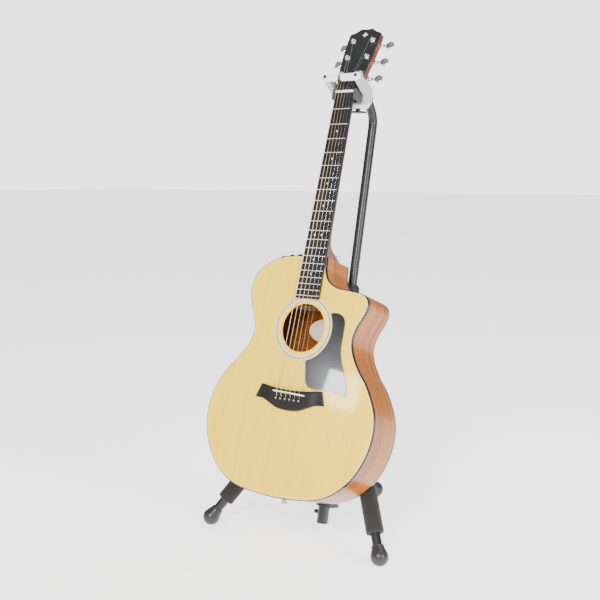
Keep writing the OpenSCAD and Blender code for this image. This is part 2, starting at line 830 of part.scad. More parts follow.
module front_leg(side) {
    color("#2a2b2d") on_leg(side) difference() {
        union() {
            translate([-eye_half, 0, 0]) rotate([0, 90, 0]) cylinder(r = 9, h = 2 * eye_half);
            translate([-eye_half, -9, 0]) cube([2 * eye_half, 18, 18]);
            translate([0, 0, 14]) cylinder(d = leg_d, h = leg_reach - 14 - foot_r / 2);
        }
        rotate([0, 90, 0]) cylinder(d = pin_d + 2 * fit, h = 60, center = true);
        translate([0, 0, 22]) cylinder(d = leg_d - 2 * tube_wall, h = leg_reach);
    }
}

module foam(side) {
    color("#1c1c1b") on_leg(side) translate([0, 0, leg_reach - foam_end - foam_len]) difference() {
        cylinder(d = foam_d, h = foam_len);
        translate([0, 0, -1]) cylinder(d = leg_d, h = foam_len + 2);
    }
}

foam_end = 48;
foot_neck = 23;
foot_wall = 3;

// A rubber foot: z runs down the leg, the round end's centre at zero
module foot_shape() {
    rotate_extrude() difference() {
        union() {
            intersection() {
                circle(r = foot_r, $fn = 96);
                translate([0, -foot_r]) square([foot_r, 2 * foot_r]);
            }
            polygon([
                [0, -foot_neck], [leg_d / 2 + foot_wall - 1, -foot_neck],
                [leg_d / 2 + foot_wall, -foot_neck + 1], [foot_r * 0.94, -foot_r * 0.34], [0, 0]
            ]);
        }
        translate([0, -foot_neck - 1]) square([leg_d / 2, foot_neck + 1 - foot_r / 2]);
    }
}

module above_floor() {
    translate([-500, -500, 0]) cube([1000, 1000, 200]);
}

module foot(side) {
    color("#55565a") intersection() {
        on_leg(side) translate([0, 0, leg_reach]) foot_shape();
        above_floor();
    }
}

module leg_left() front_leg(-1);
module leg_right() front_leg(1);
module foam_left() foam(-1);
module foam_right() foam(1);
module foot_left() foot(-1);
module foot_right() foot(1);

// Rear leg: level from its hinge, then bent down into its foot
rear_bend = 30;
rear_bend_r = 50;
rear_hinge_y = column_y + rear_pin_y * cos(mast_lean) + rear_pin_z * sin(mast_lean);
rear_hinge_z = rear_pin_z * cos(mast_lean) - rear_pin_y * sin(mast_lean);
rear_foot_y = column_y + rear_reach;
bend_drop = rear_bend_r * (1 - cos(rear_bend));
rear_slope_len = (rear_hinge_z - bend_drop - foot_z) / sin(rear_bend);
rear_flat_end = rear_foot_y - rear_slope_len * cos(rear_bend) - rear_bend_r * sin(rear_bend);

module leg_rear() color("#2a2b2d") difference() {
    union() {
        translate([0, rear_hinge_y, rear_hinge_z]) rotate([0, 90, 0])
            cylinder(d = leg_d, h = leg_d, center = true);
        translate([0, rear_flat_end, rear_hinge_z - rear_bend_r]) rotate([0, -90, 0]) {
            translate([rear_bend_r, 0, 0]) rotate([90, 0, 0])
                cylinder(d = leg_d, h = rear_flat_end - rear_hinge_y);
            rotate_extrude(angle = rear_bend, $fn = 96) translate([rear_bend_r, 0])
                circle(d = leg_d, $fn = 48);
            rotate([0, 0, rear_bend]) translate([rear_bend_r, 0, 0]) rotate([-90, 0, 0])
                cylinder(d = leg_d, h = rear_slope_len - foot_r / 2);
            for (t = [0, rear_bend]) rotate([0, 0, t]) translate([rear_bend_r, 0, 0])
                rotate([90, 0, 0]) bend_bead(leg_d);
        }
    }
    translate([0, rear_hinge_y, rear_hinge_z]) rotate([0, 90, 0])
        cylinder(d = pin_d + 2 * fit, h = 60, center = true);
}

// The shallow bead a bending die leaves at either end of a bend
module bend_bead(d) {
    cylinder(d = d + 0.3, h = 3, center = true);
}

// Frame of the rear foot: z runs down the last stretch
module at_rear_foot() {
    translate([0, rear_foot_y, foot_z]) rotate([-90 - rear_bend, 0, 0]) children();
}

module foot_rear() color("#55565a") intersection() {
    at_rear_foot() foot_shape();
    above_floor();
}

// ---- Stand: height clamp and mast ----

clamp_h = 34;
clamp_z = column_top - clamp_h + 6;
clamp_r = column_d / 2 + 4.5;

module height_clamp() color("#1b1c1e") on_mast() difference() {
    union() {
        translate([0, 0, clamp_z]) cylinder(r = clamp_r, h = clamp_h - 7);
        translate([0, 0, clamp_z + clamp_h - 7]) cylinder(r1 = clamp_r, r2 = mast_d / 2 + 2, h = 7);
        translate([-8, 0, clamp_z + 4]) cube([16, clamp_r + 7, 18]);
    }
    cylinder(d = column_d, h = column_top);
    cylinder(r = bore_r, h = 1000);
    translate([0, 0, clamp_z + 13]) rotate([-90, 0, 0]) cylinder(r = 4 + fit, h = 60);
}

module clamp_knob() color("#161617") on_mast() translate([0, 0, clamp_z + 13]) rotate([-90, 0, 0]) {
    translate([0, 0, column_d / 2 + gap]) cylinder(r = 4, h = 20);
    translate([0, 0, clamp_r + 7 + gap]) cylinder(r = 7, h = 6);
    translate([0, 0, clamp_r + 7 + gap + 6]) linear_extrude(9) polygon(rounded([
        [-17, -5, 4], [17, -5, 4], [17, 5, 4], [-17, 5, 4]
    ]));
}

// Height up the column at which the mast starts to bend, set by the nut
bend_below_nut = 24;
mast_insert = 215;
mast_bend = 50;
mast_bend_r = 45;
mast_entry = 28;
mast_end = mast_entry + 22;
bend_z = (nut_z - bend_below_nut - (column_y - guitar_y) * sin(guitar_lean)
    + hang_h * cos(guitar_lean)) / cos(lean_gap);
bend_end = [-mast_bend_r * (1 - cos(mast_bend)), bend_z + mast_bend_r * sin(mast_bend)];

module upper_mast() color("#2f3032") on_mast() difference() {
    union() {
        translate([0, 0, column_top - mast_insert])
            cylinder(d = mast_d, h = bend_z - column_top + mast_insert);
        translate([0, -mast_bend_r, bend_z]) rotate([90, 0, 90])
            rotate_extrude(angle = mast_bend, $fn = 96)
                translate([mast_bend_r, 0]) circle(d = mast_d, $fn = 48);
        translate([0, 0, bend_z]) bend_bead(mast_d);
        translate([0, bend_end[0], bend_end[1]]) rotate([mast_bend, 0, 0]) {
            cylinder(d = mast_d, h = mast_end);
            bend_bead(mast_d);
        }
    }
    translate([0, 0, column_top - mast_insert - 1])
        cylinder(d = mast_d - 2 * tube_wall, h = bend_z - column_top + mast_insert - 4);
}

// ---- Yoke ----

column_y_off = column_y - guitar_y;

// A place in the guitar frame, from its y behind the column's foot and its height
function to_guitar(y, z) = [
    (y + column_y_off) * cos(guitar_lean) - (z - hang_h) * sin(guitar_lean),
    (y + column_y_off) * sin(guitar_lean) + (z - hang_h) * cos(guitar_lean)
];
tube_tip = bend_end + mast_entry * [-sin(mast_bend), cos(mast_bend)];
tube_tip_world = [
    tube_tip[0] * cos(mast_lean) + tube_tip[1] * sin(mast_lean),
    tube_tip[1] * cos(mast_lean) - tube_tip[0] * sin(mast_lean)
];
housing_at = tube_tip_world + [-38, 2];
neck_at = to_guitar(housing_at[0], housing_at[1]);
gate_y = -29.3;
gate_t = 9;
gate_z = nut_z + 25.6;
// The gate pins' place, from the housing's centre, in level axes
gate_level = [
    (gate_y + 8 - neck_at[0]) * cos(guitar_lean) + (gate_z - neck_at[1]) * sin(guitar_lean),
    (gate_z - neck_at[1]) * cos(guitar_lean) - (gate_y + 8 - neck_at[0]) * sin(guitar_lean)
];

// Level frame at the centre of the housing
module at_housing() {
    translate([0, column_y + housing_at[0], housing_at[1]]) children();
}

// A side outline [y, z] given thickness along x
module side_plate(points, x0, x1) {
    translate([x0, 0, 0]) rotate([90, 0, 90]) linear_extrude(x1 - x0) polygon(points);
}

module yoke_housing() color("#e4e5e8") difference() {
    at_housing() side_plate(rounded([
        [-20, -25, 4], [9, -25, 8], [37, 0, 8], [39, 18, 12], [20, 31, 10], [-8, 31, 8],
        [-20, 20, 4]
    ]), -housing_w / 2, housing_w / 2);
    on_mast() translate([0, bend_end[0], bend_end[1]]) rotate([mast_bend, 0, 0])
        cylinder(d = mast_d, h = mast_end);
    stem_slot();
}

// Room for the cradle's stem over its whole travel
module stem_slot() {
    in_guitar() translate([-stem_w / 2 - gap, neck_d + 4, stem_low - gap])
        cube([stem_w + 2 * gap, stem_end - neck_d - 4 + gap, stem_h + cradle_travel + 2 * gap]);
}

stem_w = 12;
stem_h = 12;
stem_low = nut_z - 8;
stem_end = neck_at[0] - 8;

module housing_screw() color("#d8d9dc") at_housing()
    translate([housing_w / 2, 22, -2]) rotate([0, 90, 0]) cylinder(r = 4, h = 2.4);

// An arm's way from the cross plate to its gate pin, and its side outline
arm_way = unit(gate_level - [-27, 2]);
arm_up = [arm_way[1], -arm_way[0]];
arm_tip = gate_level + 12 * arm_way;
arm_top = arm_tip + 8 * arm_up;
arm_under = arm_tip - 8 * arm_up;

module yoke_fork() color("#eceded") difference() {
    union() {
        at_housing() translate([-gate_span / 2 - arm_w / 2 + 0.5, -33, -18])
            cube([gate_span + arm_w - 1, 13, 36]);
        for (s = [-1, 1]) at_housing() side_plate(rounded([
            [-33.5, -17.5, 3], [-19.5, -17.5, 3], [-19.5, 14, 4],
            [arm_top[0], arm_top[1], 3], [arm_under[0], arm_under[1], 3], [-33.5, -4, 3]
        ]), s * gate_span / 2 - arm_w / 2, s * gate_span / 2 + arm_w / 2);
        for (s = [-1, 1]) in_guitar()
            translate([s * gate_span / 2, gate_y + gate_t / 2 + gap, gate_z]) rotate([-90, 0, 0])
                cylinder(r = 8.5, h = 14);
    }
    stem_slot();
    in_guitar() {
        translate([-cradle_out - gap, -60, nut_z - 80])
            cube([2 * (cradle_out + gap), 60 + cradle_back + gap, 130]);
        for (s = [-1, 1]) translate([s * gate_span / 2, gate_y, gate_z]) rotate([-90, 0, 0])
            cylinder(d = gate_pin_d, h = 40);
        translate([-100, gate_y - 60 + gate_t / 2 + gap, gate_z - 60]) cube([200, 60, 120]);
    }
}

gate_pin_d = 5;
module gate_pins() color("#2c2d2f") in_guitar() for (s = [-1, 1])
    translate([s * gate_span / 2, gate_y - gate_t / 2, gate_z]) rotate([-90, 0, 0]) {
        cylinder(d = gate_pin_d, h = gate_t + gap + 12);
        translate([0, 0, -2]) cylinder(r = 3.6, h = 2 - gap);
    }

// A gate bar from its pin to its tip, along x
module gate(side, tip) {
    color("#f2f2f3") in_guitar() translate([0, gate_y - gate_t / 2, gate_z]) difference() {
        union() {
            translate([min(side * gate_span / 2, tip), 0, -gate_h / 2 - 1.5])
                cube([abs(side * gate_span / 2 - tip), gate_t, gate_h]);
            translate([side * gate_span / 2, 0, 0]) rotate([-90, 0, 0]) cylinder(r = 8.5, h = gate_t);
        }
        translate([side * gate_span / 2, -1, 0]) rotate([-90, 0, 0])
            cylinder(d = gate_pin_d + 2 * fit, h = 20);
    }
}

module gate_left() gate(-1, -9);
module gate_right() gate(1, 0);

module yoke_under_plate() color("#111213") at_housing() {
    translate([-12, -22, -34]) cube([24, 36, 4]);
    translate([0, -4, -30]) cylinder(r = 5, h = 5);
}

// Padded cradle under the headstock, on a stem that slides in the housing
cradle_half = nut_w / 2 + 1.6;
cradle_out = cradle_half + 5.5;
cradle_h = 22;
cradle_back = neck_d + 9;

module cradle() color("#b9b4b0") in_guitar() difference() {
    union() {
        translate([-cradle_out, -8, nut_z - 14]) cube([2 * cradle_out, cradle_back + 8, cradle_h]);
        translate([-stem_w / 2, cradle_back - 1, stem_low])
            cube([stem_w, stem_end - cradle_back + 1, stem_h]);
    }
    translate([-cradle_half, -20, nut_z - 60]) cube([2 * cradle_half, 20 + neck_d + 3, 100]);
}

column_tube();
column_plug();
base_bracket();
base_screw();
leg_hub();
hinge_pins();
height_clamp();
clamp_knob();
leg_left();
leg_right();
leg_rear();
foam_left();
foam_right();
foot_left();
foot_right();
foot_rear();
upper_mast();
yoke_housing();
yoke_fork();
yoke_under_plate();
gate_pins();
housing_screw();
cradle();
gate_left();
gate_right();
soundboard();
rosette();
body_sides();
back_plate();
bindings();
linings();
braces();
end_blocks();
bridge();
saddle();
bridge_pins();
pickguard();
neck();
fretboard();
frets();
fret_dots();
nut();
headstock_veneer();
truss_rod();
truss_rod_cover();
strings();
tuner_housings();
tuner_bushings();
tuner_posts();
strap_buttons();
preamp();
knob_1();
knob_2();
knob_3();
tuner_1();
tuner_2();
tuner_3();
tuner_4();
tuner_5();
tuner_6();
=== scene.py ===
"""The finished look of a cutaway guitar that hangs in a folding floor stand.

World frame: X to the treble side, Y to the back, Z up, metres.
Guitar frame: x to the treble side, y back from the soundboard, z up the neck, millimetres.
Mast frame: z up the column, y back, millimetres.
"""

import json
import math

import bmesh
import bpy
from mathutils import Matrix, Vector
from mathutils.kdtree import KDTree


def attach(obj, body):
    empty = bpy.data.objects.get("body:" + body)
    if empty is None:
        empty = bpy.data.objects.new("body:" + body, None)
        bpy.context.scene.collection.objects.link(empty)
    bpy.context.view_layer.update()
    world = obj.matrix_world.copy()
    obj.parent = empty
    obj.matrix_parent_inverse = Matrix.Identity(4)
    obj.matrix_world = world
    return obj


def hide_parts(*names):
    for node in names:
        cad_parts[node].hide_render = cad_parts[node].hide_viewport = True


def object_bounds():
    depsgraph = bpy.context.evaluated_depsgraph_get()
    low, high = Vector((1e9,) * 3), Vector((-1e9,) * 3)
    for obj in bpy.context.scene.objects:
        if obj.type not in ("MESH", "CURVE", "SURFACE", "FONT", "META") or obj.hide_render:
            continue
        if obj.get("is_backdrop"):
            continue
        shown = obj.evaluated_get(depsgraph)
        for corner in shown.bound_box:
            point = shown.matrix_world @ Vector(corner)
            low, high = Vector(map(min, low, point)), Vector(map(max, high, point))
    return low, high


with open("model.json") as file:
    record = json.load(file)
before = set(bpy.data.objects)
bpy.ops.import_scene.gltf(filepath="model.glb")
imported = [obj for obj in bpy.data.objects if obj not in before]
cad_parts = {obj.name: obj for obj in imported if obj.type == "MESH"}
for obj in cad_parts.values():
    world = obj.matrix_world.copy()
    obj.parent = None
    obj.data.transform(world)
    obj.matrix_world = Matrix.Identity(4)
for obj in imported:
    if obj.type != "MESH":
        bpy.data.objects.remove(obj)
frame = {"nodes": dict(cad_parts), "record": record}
cad_low, cad_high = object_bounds()

MM = 0.001

# ---- Driving sizes, in millimetres and degrees ----

GUITAR_LEAN = 19
MAST_LEAN = 13.67
HEAD_TILT = 15
HANG_H = 110
GUITAR_Y = -226
COLUMN_Y = GUITAR_Y + 190.6

TAIL_Z = 9
BODY_LEN = 500
BODY_DEPTH = 105
DEPTH_TAPER = 11
BACK_RADIUS = 4572
SIDE_T = 2
BACK_T = 2.8
BINDING_H = 6
HOLE_Z = 356.6
ROSETTE_R = 56.5
ROSETTE_W = 12

SCALE_LENGTH = 647.7
SADDLE_Z = 219.5
NUT_Z = SADDLE_Z + SCALE_LENGTH
NUT_W = 43.5
NUT_T = 4.8
BOARD_END_W = 56
BOARD_T = 6.8
FRETS = 20
BOARD_END_Z = NUT_Z - SCALE_LENGTH * (1 - 2 ** (-(FRETS + 0.5) / 12))
NECK_D = 14
HEAD_Z = NUT_Z + NUT_T
HEAD_LEN = 168
HEAD_T = 13.5
VENEER_T = 1.6
POST_X = 24
HEEL_Z = TAIL_Z + BODY_LEN

COLUMN_D = 25
COLUMN_START = 10
COLUMN_TOP = COLUMN_START + 516
MAST_D = 20
LEG_D = 20
FOAM_D = 36
FOAM_LEN = 200
FOAM_END = 48
FOOT_R = 18
FRONT_REACH = 241.5
REAR_REACH = 241
HUB_H = 300
HINGE_R = 47
LEG_TURN = 60
GATE_SPAN = 74.8
GATE_T = 9
GATE_H = 14
GATE_Y = -29.3
GATE_Z = NUT_Z + 25.6
ARM_W = 12.5
GAP = 0.4


def radians(angle):
    return math.radians(angle)


def shift(x, y, z):
    return Matrix.Translation((x, y, z))


def turn(angle, axis):
    return Matrix.Rotation(radians(angle), 4, axis)


WORLD = Matrix.Identity(4)
GUITAR = shift(0, GUITAR_Y, HANG_H) @ turn(-GUITAR_LEAN, "X")
MAST = shift(0, COLUMN_Y, 0) @ turn(-MAST_LEAN, "X")
HEAD = GUITAR @ shift(0, -4, HEAD_Z) @ turn(-HEAD_TILT, "X")
FACING = turn(-90, "X")

# ---- Mesh shapes: each is (points, faces) in millimetres ----


def moved(shape, place):
    return [place @ Vector(p) for p in shape[0]], shape[1]


def joined(*shapes):
    points, faces = [], []
    for some, more in shapes:
        start = len(points)
        points += [Vector(p) for p in some]
        faces += [[i + start for i in f] for f in more]
    return points, faces


def skin(rings, capped=True, looped=False):
    """Rings of the same number of points, joined one to the next."""
    n = len(rings[0])
    points = [Vector(p) for ring in rings for p in ring]
    faces = []
    last = len(rings) if looped else len(rings) - 1
    for i in range(last):
        a, b = i * n, ((i + 1) % len(rings)) * n
        for k in range(n):
            j = (k + 1) % n
            faces.append([a + k, a + j, b + j, b + k])
    if capped and not looped:
        faces.append(list(range(n))[::-1])
        faces.append([(len(rings) - 1) * n + k for k in range(n)])
    return points, faces


def lathe(profile, sides=48):
    """A profile of (radius, z) spun about z; a radius of nought closes to a point."""
    points, rows, faces = [], [], []
    for r, z in profile:
        if r < 1e-6:
            rows.append([len(points)])
            points.append(Vector((0, 0, z)))
        else:
            rows.append(list(range(len(points), len(points) + sides)))
            points += [
                Vector((r * math.cos(2 * math.pi * k / sides), r * math.sin(2 * math.pi * k / sides), z))
                for k in range(sides)
            ]
    for low, high in zip(rows, rows[1:]):
        for k in range(sides):
            j = (k + 1) % sides
            if len(low) == 1:
                faces.append([low[0], high[j], high[k]])
            elif len(high) == 1:
                faces.append([low[k], low[j], high[0]])
            else:
                faces.append([low[k], low[j], high[j], high[k]])
    for row, flip in ((rows[0], True), (rows[-1], False)):
        if len(row) > 1:
            faces.append(row[::-1] if flip else row)
    return points, faces


def ring_lathe(profile, sides=48):
    """A closed profile of (radius, z) spun about z, as for a sleeve or a washer."""
    rings = []
    for k in range(sides):
        a = 2 * math.pi * k / sides
        rings.append([(r * math.cos(a), r * math.sin(a), z) for r, z in profile])
    return skin(rings, looped=True)


def block(low, high):
    (a, b, c), (d, e, f) = low, high
    points = [(a, b, c), (d, b, c), (d, e, c), (a, e, c), (a, b, f), (d, b, f), (d, e, f), (a, e, f)]
    faces = [[3, 2, 1, 0], [4, 5, 6, 7], [0, 1, 5, 4], [1, 2, 6, 5], [2, 3, 7, 6], [3, 0, 4, 7]]
    return [Vector(p) for p in points], faces


def slab(outline, y0, y1):
    """An outline in x and z given depth along y."""
    return skin([[(x, y, z) for x, z in outline] for y in (y0, y1)])


def side_plate(outline, x0, x1):
    """An outline in y and z given width along x."""
    return skin([[(x, y, z) for y, z in outline] for x in (x0, x1)])


def smooth(points, steps):
    """A smooth open curve through a list of points."""
    pts = [Vector(p) for p in points]
    ends = [2 * pts[0] - pts[1]] + pts + [2 * pts[-1] - pts[-2]]
    out = []
    for i in range(len(pts) - 1):
        a, b, c, d = ends[i:i + 4]
        for k in range(steps):
            t = k / steps
            out.append(0.5 * (2 * b + (c - a) * t + (2 * a - 5 * b + 4 * c - d) * t * t
                              + (3 * b - a - 3 * c + d) * t ** 3))
    return out + [pts[-1]]


def rounded(corners, steps=6):
    """A closed outline of (x, z, radius) with its corners rounded."""
    out = []
    n = len(corners)
    for i in range(n):
        p = Vector(corners[i][:2])
        a = (Vector(corners[i - 1][:2]) - p).normalized()
        b = (Vector(corners[(i + 1) % n][:2]) - p).normalized()
        r = corners[i][2]
        if r <= 0:
            out.append(p)
            continue
        back = r / math.tan(math.acos(max(-1, min(1, a.dot(b)))) / 2)
        start, end = p + a * back, p + b * back
        for k in range(steps + 1):
            t = k / steps
            out.append((1 - t) ** 2 * start + 2 * t * (1 - t) * p + t * t * end)
    return out


def inset(outline, d):
    """A closed anticlockwise outline moved inwards by d."""
    n = len(outline)
    out = []
    for i in range(n):
        p = outline[i]
        u = (p - outline[i - 1]).normalized()
        v = (outline[(i + 1) % n] - p).normalized()
        u, v = Vector((-u.y, u.x)), Vector((-v.y, v.x))
        out.append(p + (u + v) * d / (1 + u.dot(v)))
    return out


# ---- Pieces ----


def piece(name, shape, place, body, slot, finish, replaces=(), bevel=0, segments=3, crease=35, levels=0):
    """A mesh piece in the world frame, riding on its body."""
    mesh = bpy.data.meshes.new(name)
    points, faces = shape
    mesh.from_pydata([(place @ Vector(p)) * MM for p in points], [], faces)
    mesh.materials.append(finish)
    obj = bpy.data.objects.new(name, mesh)
    bpy.context.scene.collection.objects.link(obj)
    face_outwards(mesh)
    return dressed(obj, body, slot, replaces, bevel, segments, crease, levels)


def face_outwards(mesh):
    """Turns every face of a mesh to look outwards."""
    work = bmesh.new()
    work.from_mesh(mesh)
    bmesh.ops.remove_doubles(work, verts=work.verts, dist=1e-6)
    bmesh.ops.recalc_face_normals(work, faces=work.faces)
    work.to_mesh(mesh)
    work.free()


def dressed(obj, body, slot, replaces=(), bevel=0, segments=3, crease=35, levels=0):
    """Shades a piece, rounds its edges and hands it to its body."""
    obj.data.shade_smooth()
    obj.data.set_sharp_from_angle(angle=radians(crease))
    if bevel:
        edge = obj.modifiers.new("Rounded edges", "BEVEL")
        edge.width = bevel * MM
        edge.segments = segments
        edge.limit_method = "ANGLE"
        edge.angle_limit = radians(crease)
        edge.harden_normals = True
    if levels:
        soft = obj.modifiers.new("Soft form", "SUBSURF")
        soft.levels = soft.render_levels = levels
    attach(obj, body)
    if replaces:
        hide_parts(*([replaces] if isinstance(replaces, str) else replaces))
    return obj


# ---- Trees that repeat or follow ----


def add_node(tree, kind, inputs=None, **settings):
    n = tree.nodes.new(kind)
    for key, value in settings.items():
        setattr(n, key, value)
    for key, value in (inputs or {}).items():
        if isinstance(value, bpy.types.NodeSocket):
            tree.links.new(value, n.inputs[key])
        else:
            n.inputs[key].default_value = value
    return n


def new_tree(name, kind, inputs, outputs):
    tree = bpy.data.node_groups.new(name, kind)
    for label, socket in inputs:
        tree.interface.new_socket(label, in_out="INPUT", socket_type=socket)
    for label, socket in outputs:
        tree.interface.new_socket(label, in_out="OUTPUT", socket_type=socket)
    return tree, tree.nodes.new("NodeGroupInput"), tree.nodes.new("NodeGroupOutput")


def tree_copies():
    """Copies of one small piece at points that carry a turn and a size."""
    tree, into, out = new_tree(
        "Placed copies", "GeometryNodeTree",
        [("Geometry", "NodeSocketGeometry"), ("Piece", "NodeSocketObject"), ("Finish", "NodeSocketMaterial")],
        [("Geometry", "NodeSocketGeometry")])
    item = add_node(tree, "GeometryNodeObjectInfo", {"Object": into.outputs["Piece"]})
    facing = add_node(tree, "GeometryNodeInputNamedAttribute", {"Name": "turn"}, data_type="FLOAT_VECTOR")
    size = add_node(tree, "GeometryNodeInputNamedAttribute", {"Name": "size"}, data_type="FLOAT_VECTOR")
    rotate = add_node(tree, "FunctionNodeEulerToRotation", {"Euler": facing.outputs["Attribute"]})
    copies = add_node(tree, "GeometryNodeInstanceOnPoints", {
        "Points": into.outputs["Geometry"], "Instance": item.outputs["Geometry"],
        "Rotation": rotate.outputs["Rotation"], "Scale": size.outputs["Attribute"]})
    real = add_node(tree, "GeometryNodeRealizeInstances", {"Geometry": copies.outputs["Instances"]})
    paint = add_node(tree, "GeometryNodeSetMaterial", {
        "Geometry": real.outputs["Geometry"], "Material": into.outputs["Finish"]})
    tree.links.new(paint.outputs["Geometry"], out.inputs["Geometry"])
    return tree


def tree_tube():
    """A round rod or tube that follows a path."""
    tree, into, out = new_tree(
        "Rod along a path", "GeometryNodeTree",
        [("Geometry", "NodeSocketGeometry"), ("Radius", "NodeSocketFloat"), ("Sides", "NodeSocketInt"),
         ("Finish", "NodeSocketMaterial")],
        [("Geometry", "NodeSocketGeometry")])
    circle = add_node(tree, "GeometryNodeCurvePrimitiveCircle", {
        "Resolution": into.outputs["Sides"], "Radius": into.outputs["Radius"]})
    rod = add_node(tree, "GeometryNodeCurveToMesh", {
        "Curve": into.outputs["Geometry"], "Profile Curve": circle.outputs["Curve"], "Fill Caps": True})
    shade = add_node(tree, "GeometryNodeSetShadeSmooth", {"Geometry": rod.outputs["Mesh"]})
    real = add_node(tree, "GeometryNodeRealizeInstances", {"Geometry": shade.outputs["Geometry"]})
    paint = add_node(tree, "GeometryNodeSetMaterial", {
        "Geometry": real.outputs["Geometry"], "Material": into.outputs["Finish"]})
    tree.links.new(paint.outputs["Geometry"], out.inputs["Geometry"])
    return tree


COPIES = tree_copies()
ROD = tree_tube()


def grown(obj, name, tree, values):
    """The plain mesh that a tree makes from an object."""
    grow = obj.modifiers.new(tree.name, "NODES")
    grow.node_group = tree
    for socket in tree.interface.items_tree:
        if socket.item_type == "SOCKET" and socket.in_out == "INPUT" and socket.name in values:
            grow[socket.identifier] = values[socket.name]
    bpy.context.view_layer.update()
    graph = bpy.context.evaluated_depsgraph_get()
    mesh = bpy.data.meshes.new_from_object(
        obj.evaluated_get(graph), preserve_all_data_layers=True, depsgraph=graph)
    mesh.name = name
    obj.modifiers.remove(grow)
    bpy.data.objects.remove(obj)
    made = bpy.data.objects.new(name, mesh)
    bpy.context.scene.collection.objects.link(made)
    return made


def rod(name, path, r, place, body, slot, finish, replaces=(), sides=24):
    """A rod of radius r along a path, on its body."""
    curve = bpy.data.curves.new(name + "_path", "CURVE")
    curve.dimensions = "3D"
    line = curve.splines.new("POLY")
    line.points.add(len(path) - 1)
    for spot, p in zip(line.points, path):
        spot.co = (*((place @ Vector(p)) * MM), 1)
    obj = bpy.data.objects.new(name + "_path", curve)
    bpy.context.scene.collection.objects.link(obj)
    made = grown(obj, name, ROD, {"Radius": r * MM, "Sides": sides, "Finish": finish})
    face_outwards(made.data)
    return dressed(made, body, slot, replaces, crease=50)


def copies(name, shape, spots, body, slot, finish, replaces=(), crease=35):
    """Copies of a shape at spots of (place matrix, size)."""
    item_mesh = bpy.data.meshes.new(name + "_item")
    item_mesh.from_pydata([Vector(p) * MM for p in shape[0]], [], shape[1])
    item = bpy.data.objects.new(name + "_item", item_mesh)
    bpy.context.scene.collection.objects.link(item)
    face_outwards(item_mesh)
    cloud = bpy.data.meshes.new(name + "_spots")
    cloud.from_pydata([place.to_translation() * MM for place, size in spots], [], [])
    facing = cloud.attributes.new("turn", "FLOAT_VECTOR", "POINT")
    sizes = cloud.attributes.new("size", "FLOAT_VECTOR", "POINT")
    for i, (place, size) in enumerate(spots):
        facing.data[i].vector = place.to_euler("XYZ")
        sizes.data[i].vector = size
    obj = bpy.data.objects.new(name + "_spots", cloud)
    bpy.context.scene.collection.objects.link(obj)
    made = grown(obj, name, COPIES, {"Piece": item, "Finish": finish})
    bpy.data.objects.remove(item)
    made.data.attributes.remove(made.data.attributes["turn"]) if "turn" in made.data.attributes else None
    made.data.attributes.remove(made.data.attributes["size"]) if "size" in made.data.attributes else None
    return dressed(made, body, slot, replaces, crease=crease)


# ---- Finishes ----


def tree_grain():
    """Long streaks along z with slow clouds between them."""
    tree, into, out = new_tree(
        "Wood grain", "ShaderNodeTree",
        [("Place", "NodeSocketVector"), ("Lines", "NodeSocketFloat"), ("Stretch", "NodeSocketFloat"),
         ("Sharpness", "NodeSocketFloat")],
        [("Streak", "NodeSocketFloat"), ("Cloud", "NodeSocketFloat")])
    along = add_node(tree, "ShaderNodeCombineXYZ", {"X": 1.0, "Y": 1.0, "Z": into.outputs["Stretch"]})
    squeezed = add_node(tree, "ShaderNodeVectorMath", {
        0: into.outputs["Place"], 1: along.outputs["Vector"]}, operation="MULTIPLY")
    fine = add_node(tree, "ShaderNodeTexNoise", {
        "Vector": squeezed.outputs["Vector"], "Scale": into.outputs["Lines"],
        "Detail": 3.0, "Roughness": 0.55})
    soft = add_node(tree, "ShaderNodeMath", {0: 0.5, 1: into.outputs["Sharpness"]}, operation="SUBTRACT")
    hard = add_node(tree, "ShaderNodeMath", {0: 0.5, 1: into.outputs["Sharpness"]}, operation="ADD")
    streak = add_node(tree, "ShaderNodeMapRange", {
        "Value": fine.outputs[0], "From Min": soft.outputs[0], "From Max": hard.outputs[0]})
    slow = add_node(tree, "ShaderNodeMath", {0: into.outputs["Lines"], 1: 0.06}, operation="MULTIPLY")
    cloud = add_node(tree, "ShaderNodeTexNoise", {
        "Vector": squeezed.outputs["Vector"], "Scale": slow.outputs[0], "Detail": 2.0, "Roughness": 0.5})
    spread = add_node(tree, "ShaderNodeMapRange", {
        "Value": cloud.outputs[0], "From Min": 0.3, "From Max": 0.7})
    tree.links.new(streak.outputs[0], out.inputs["Streak"])
    tree.links.new(spread.outputs[0], out.inputs["Cloud"])
    return tree


def tree_wear():
    """Patches that vary a roughness between two values."""
    tree, into, out = new_tree(
        "Handled surface", "ShaderNodeTree",
        [("Place", "NodeSocketVector"), ("Scale", "NodeSocketFloat"), ("Low", "NodeSocketFloat"),
         ("High", "NodeSocketFloat")],
        [("Roughness", "NodeSocketFloat"), ("Patch", "NodeSocketFloat")])
    patches = add_node(tree, "ShaderNodeTexNoise", {
        "Vector": into.outputs["Place"], "Scale": into.outputs["Scale"], "Detail": 4.0, "Roughness": 0.6})
    spread = add_node(tree, "ShaderNodeMapRange", {
        "Value": patches.outputs[0], "From Min": 0.3, "From Max": 0.7, "To Min": into.outputs["Low"],
        "To Max": into.outputs["High"]})
    tree.links.new(spread.outputs[0], out.inputs["Roughness"])
    tree.links.new(patches.outputs[0], out.inputs["Patch"])
    return tree


GRAIN = tree_grain()
WEAR = tree_wear()


def new_finish(name, **constants):
    finish = bpy.data.materials.new(name)
    finish.use_nodes = True
    shader = finish.node_tree.nodes["Principled BSDF"]
    for label, value in constants.items():
        shader.inputs[label.replace("_", " ")].default_value = value
    return finish, finish.node_tree, shader


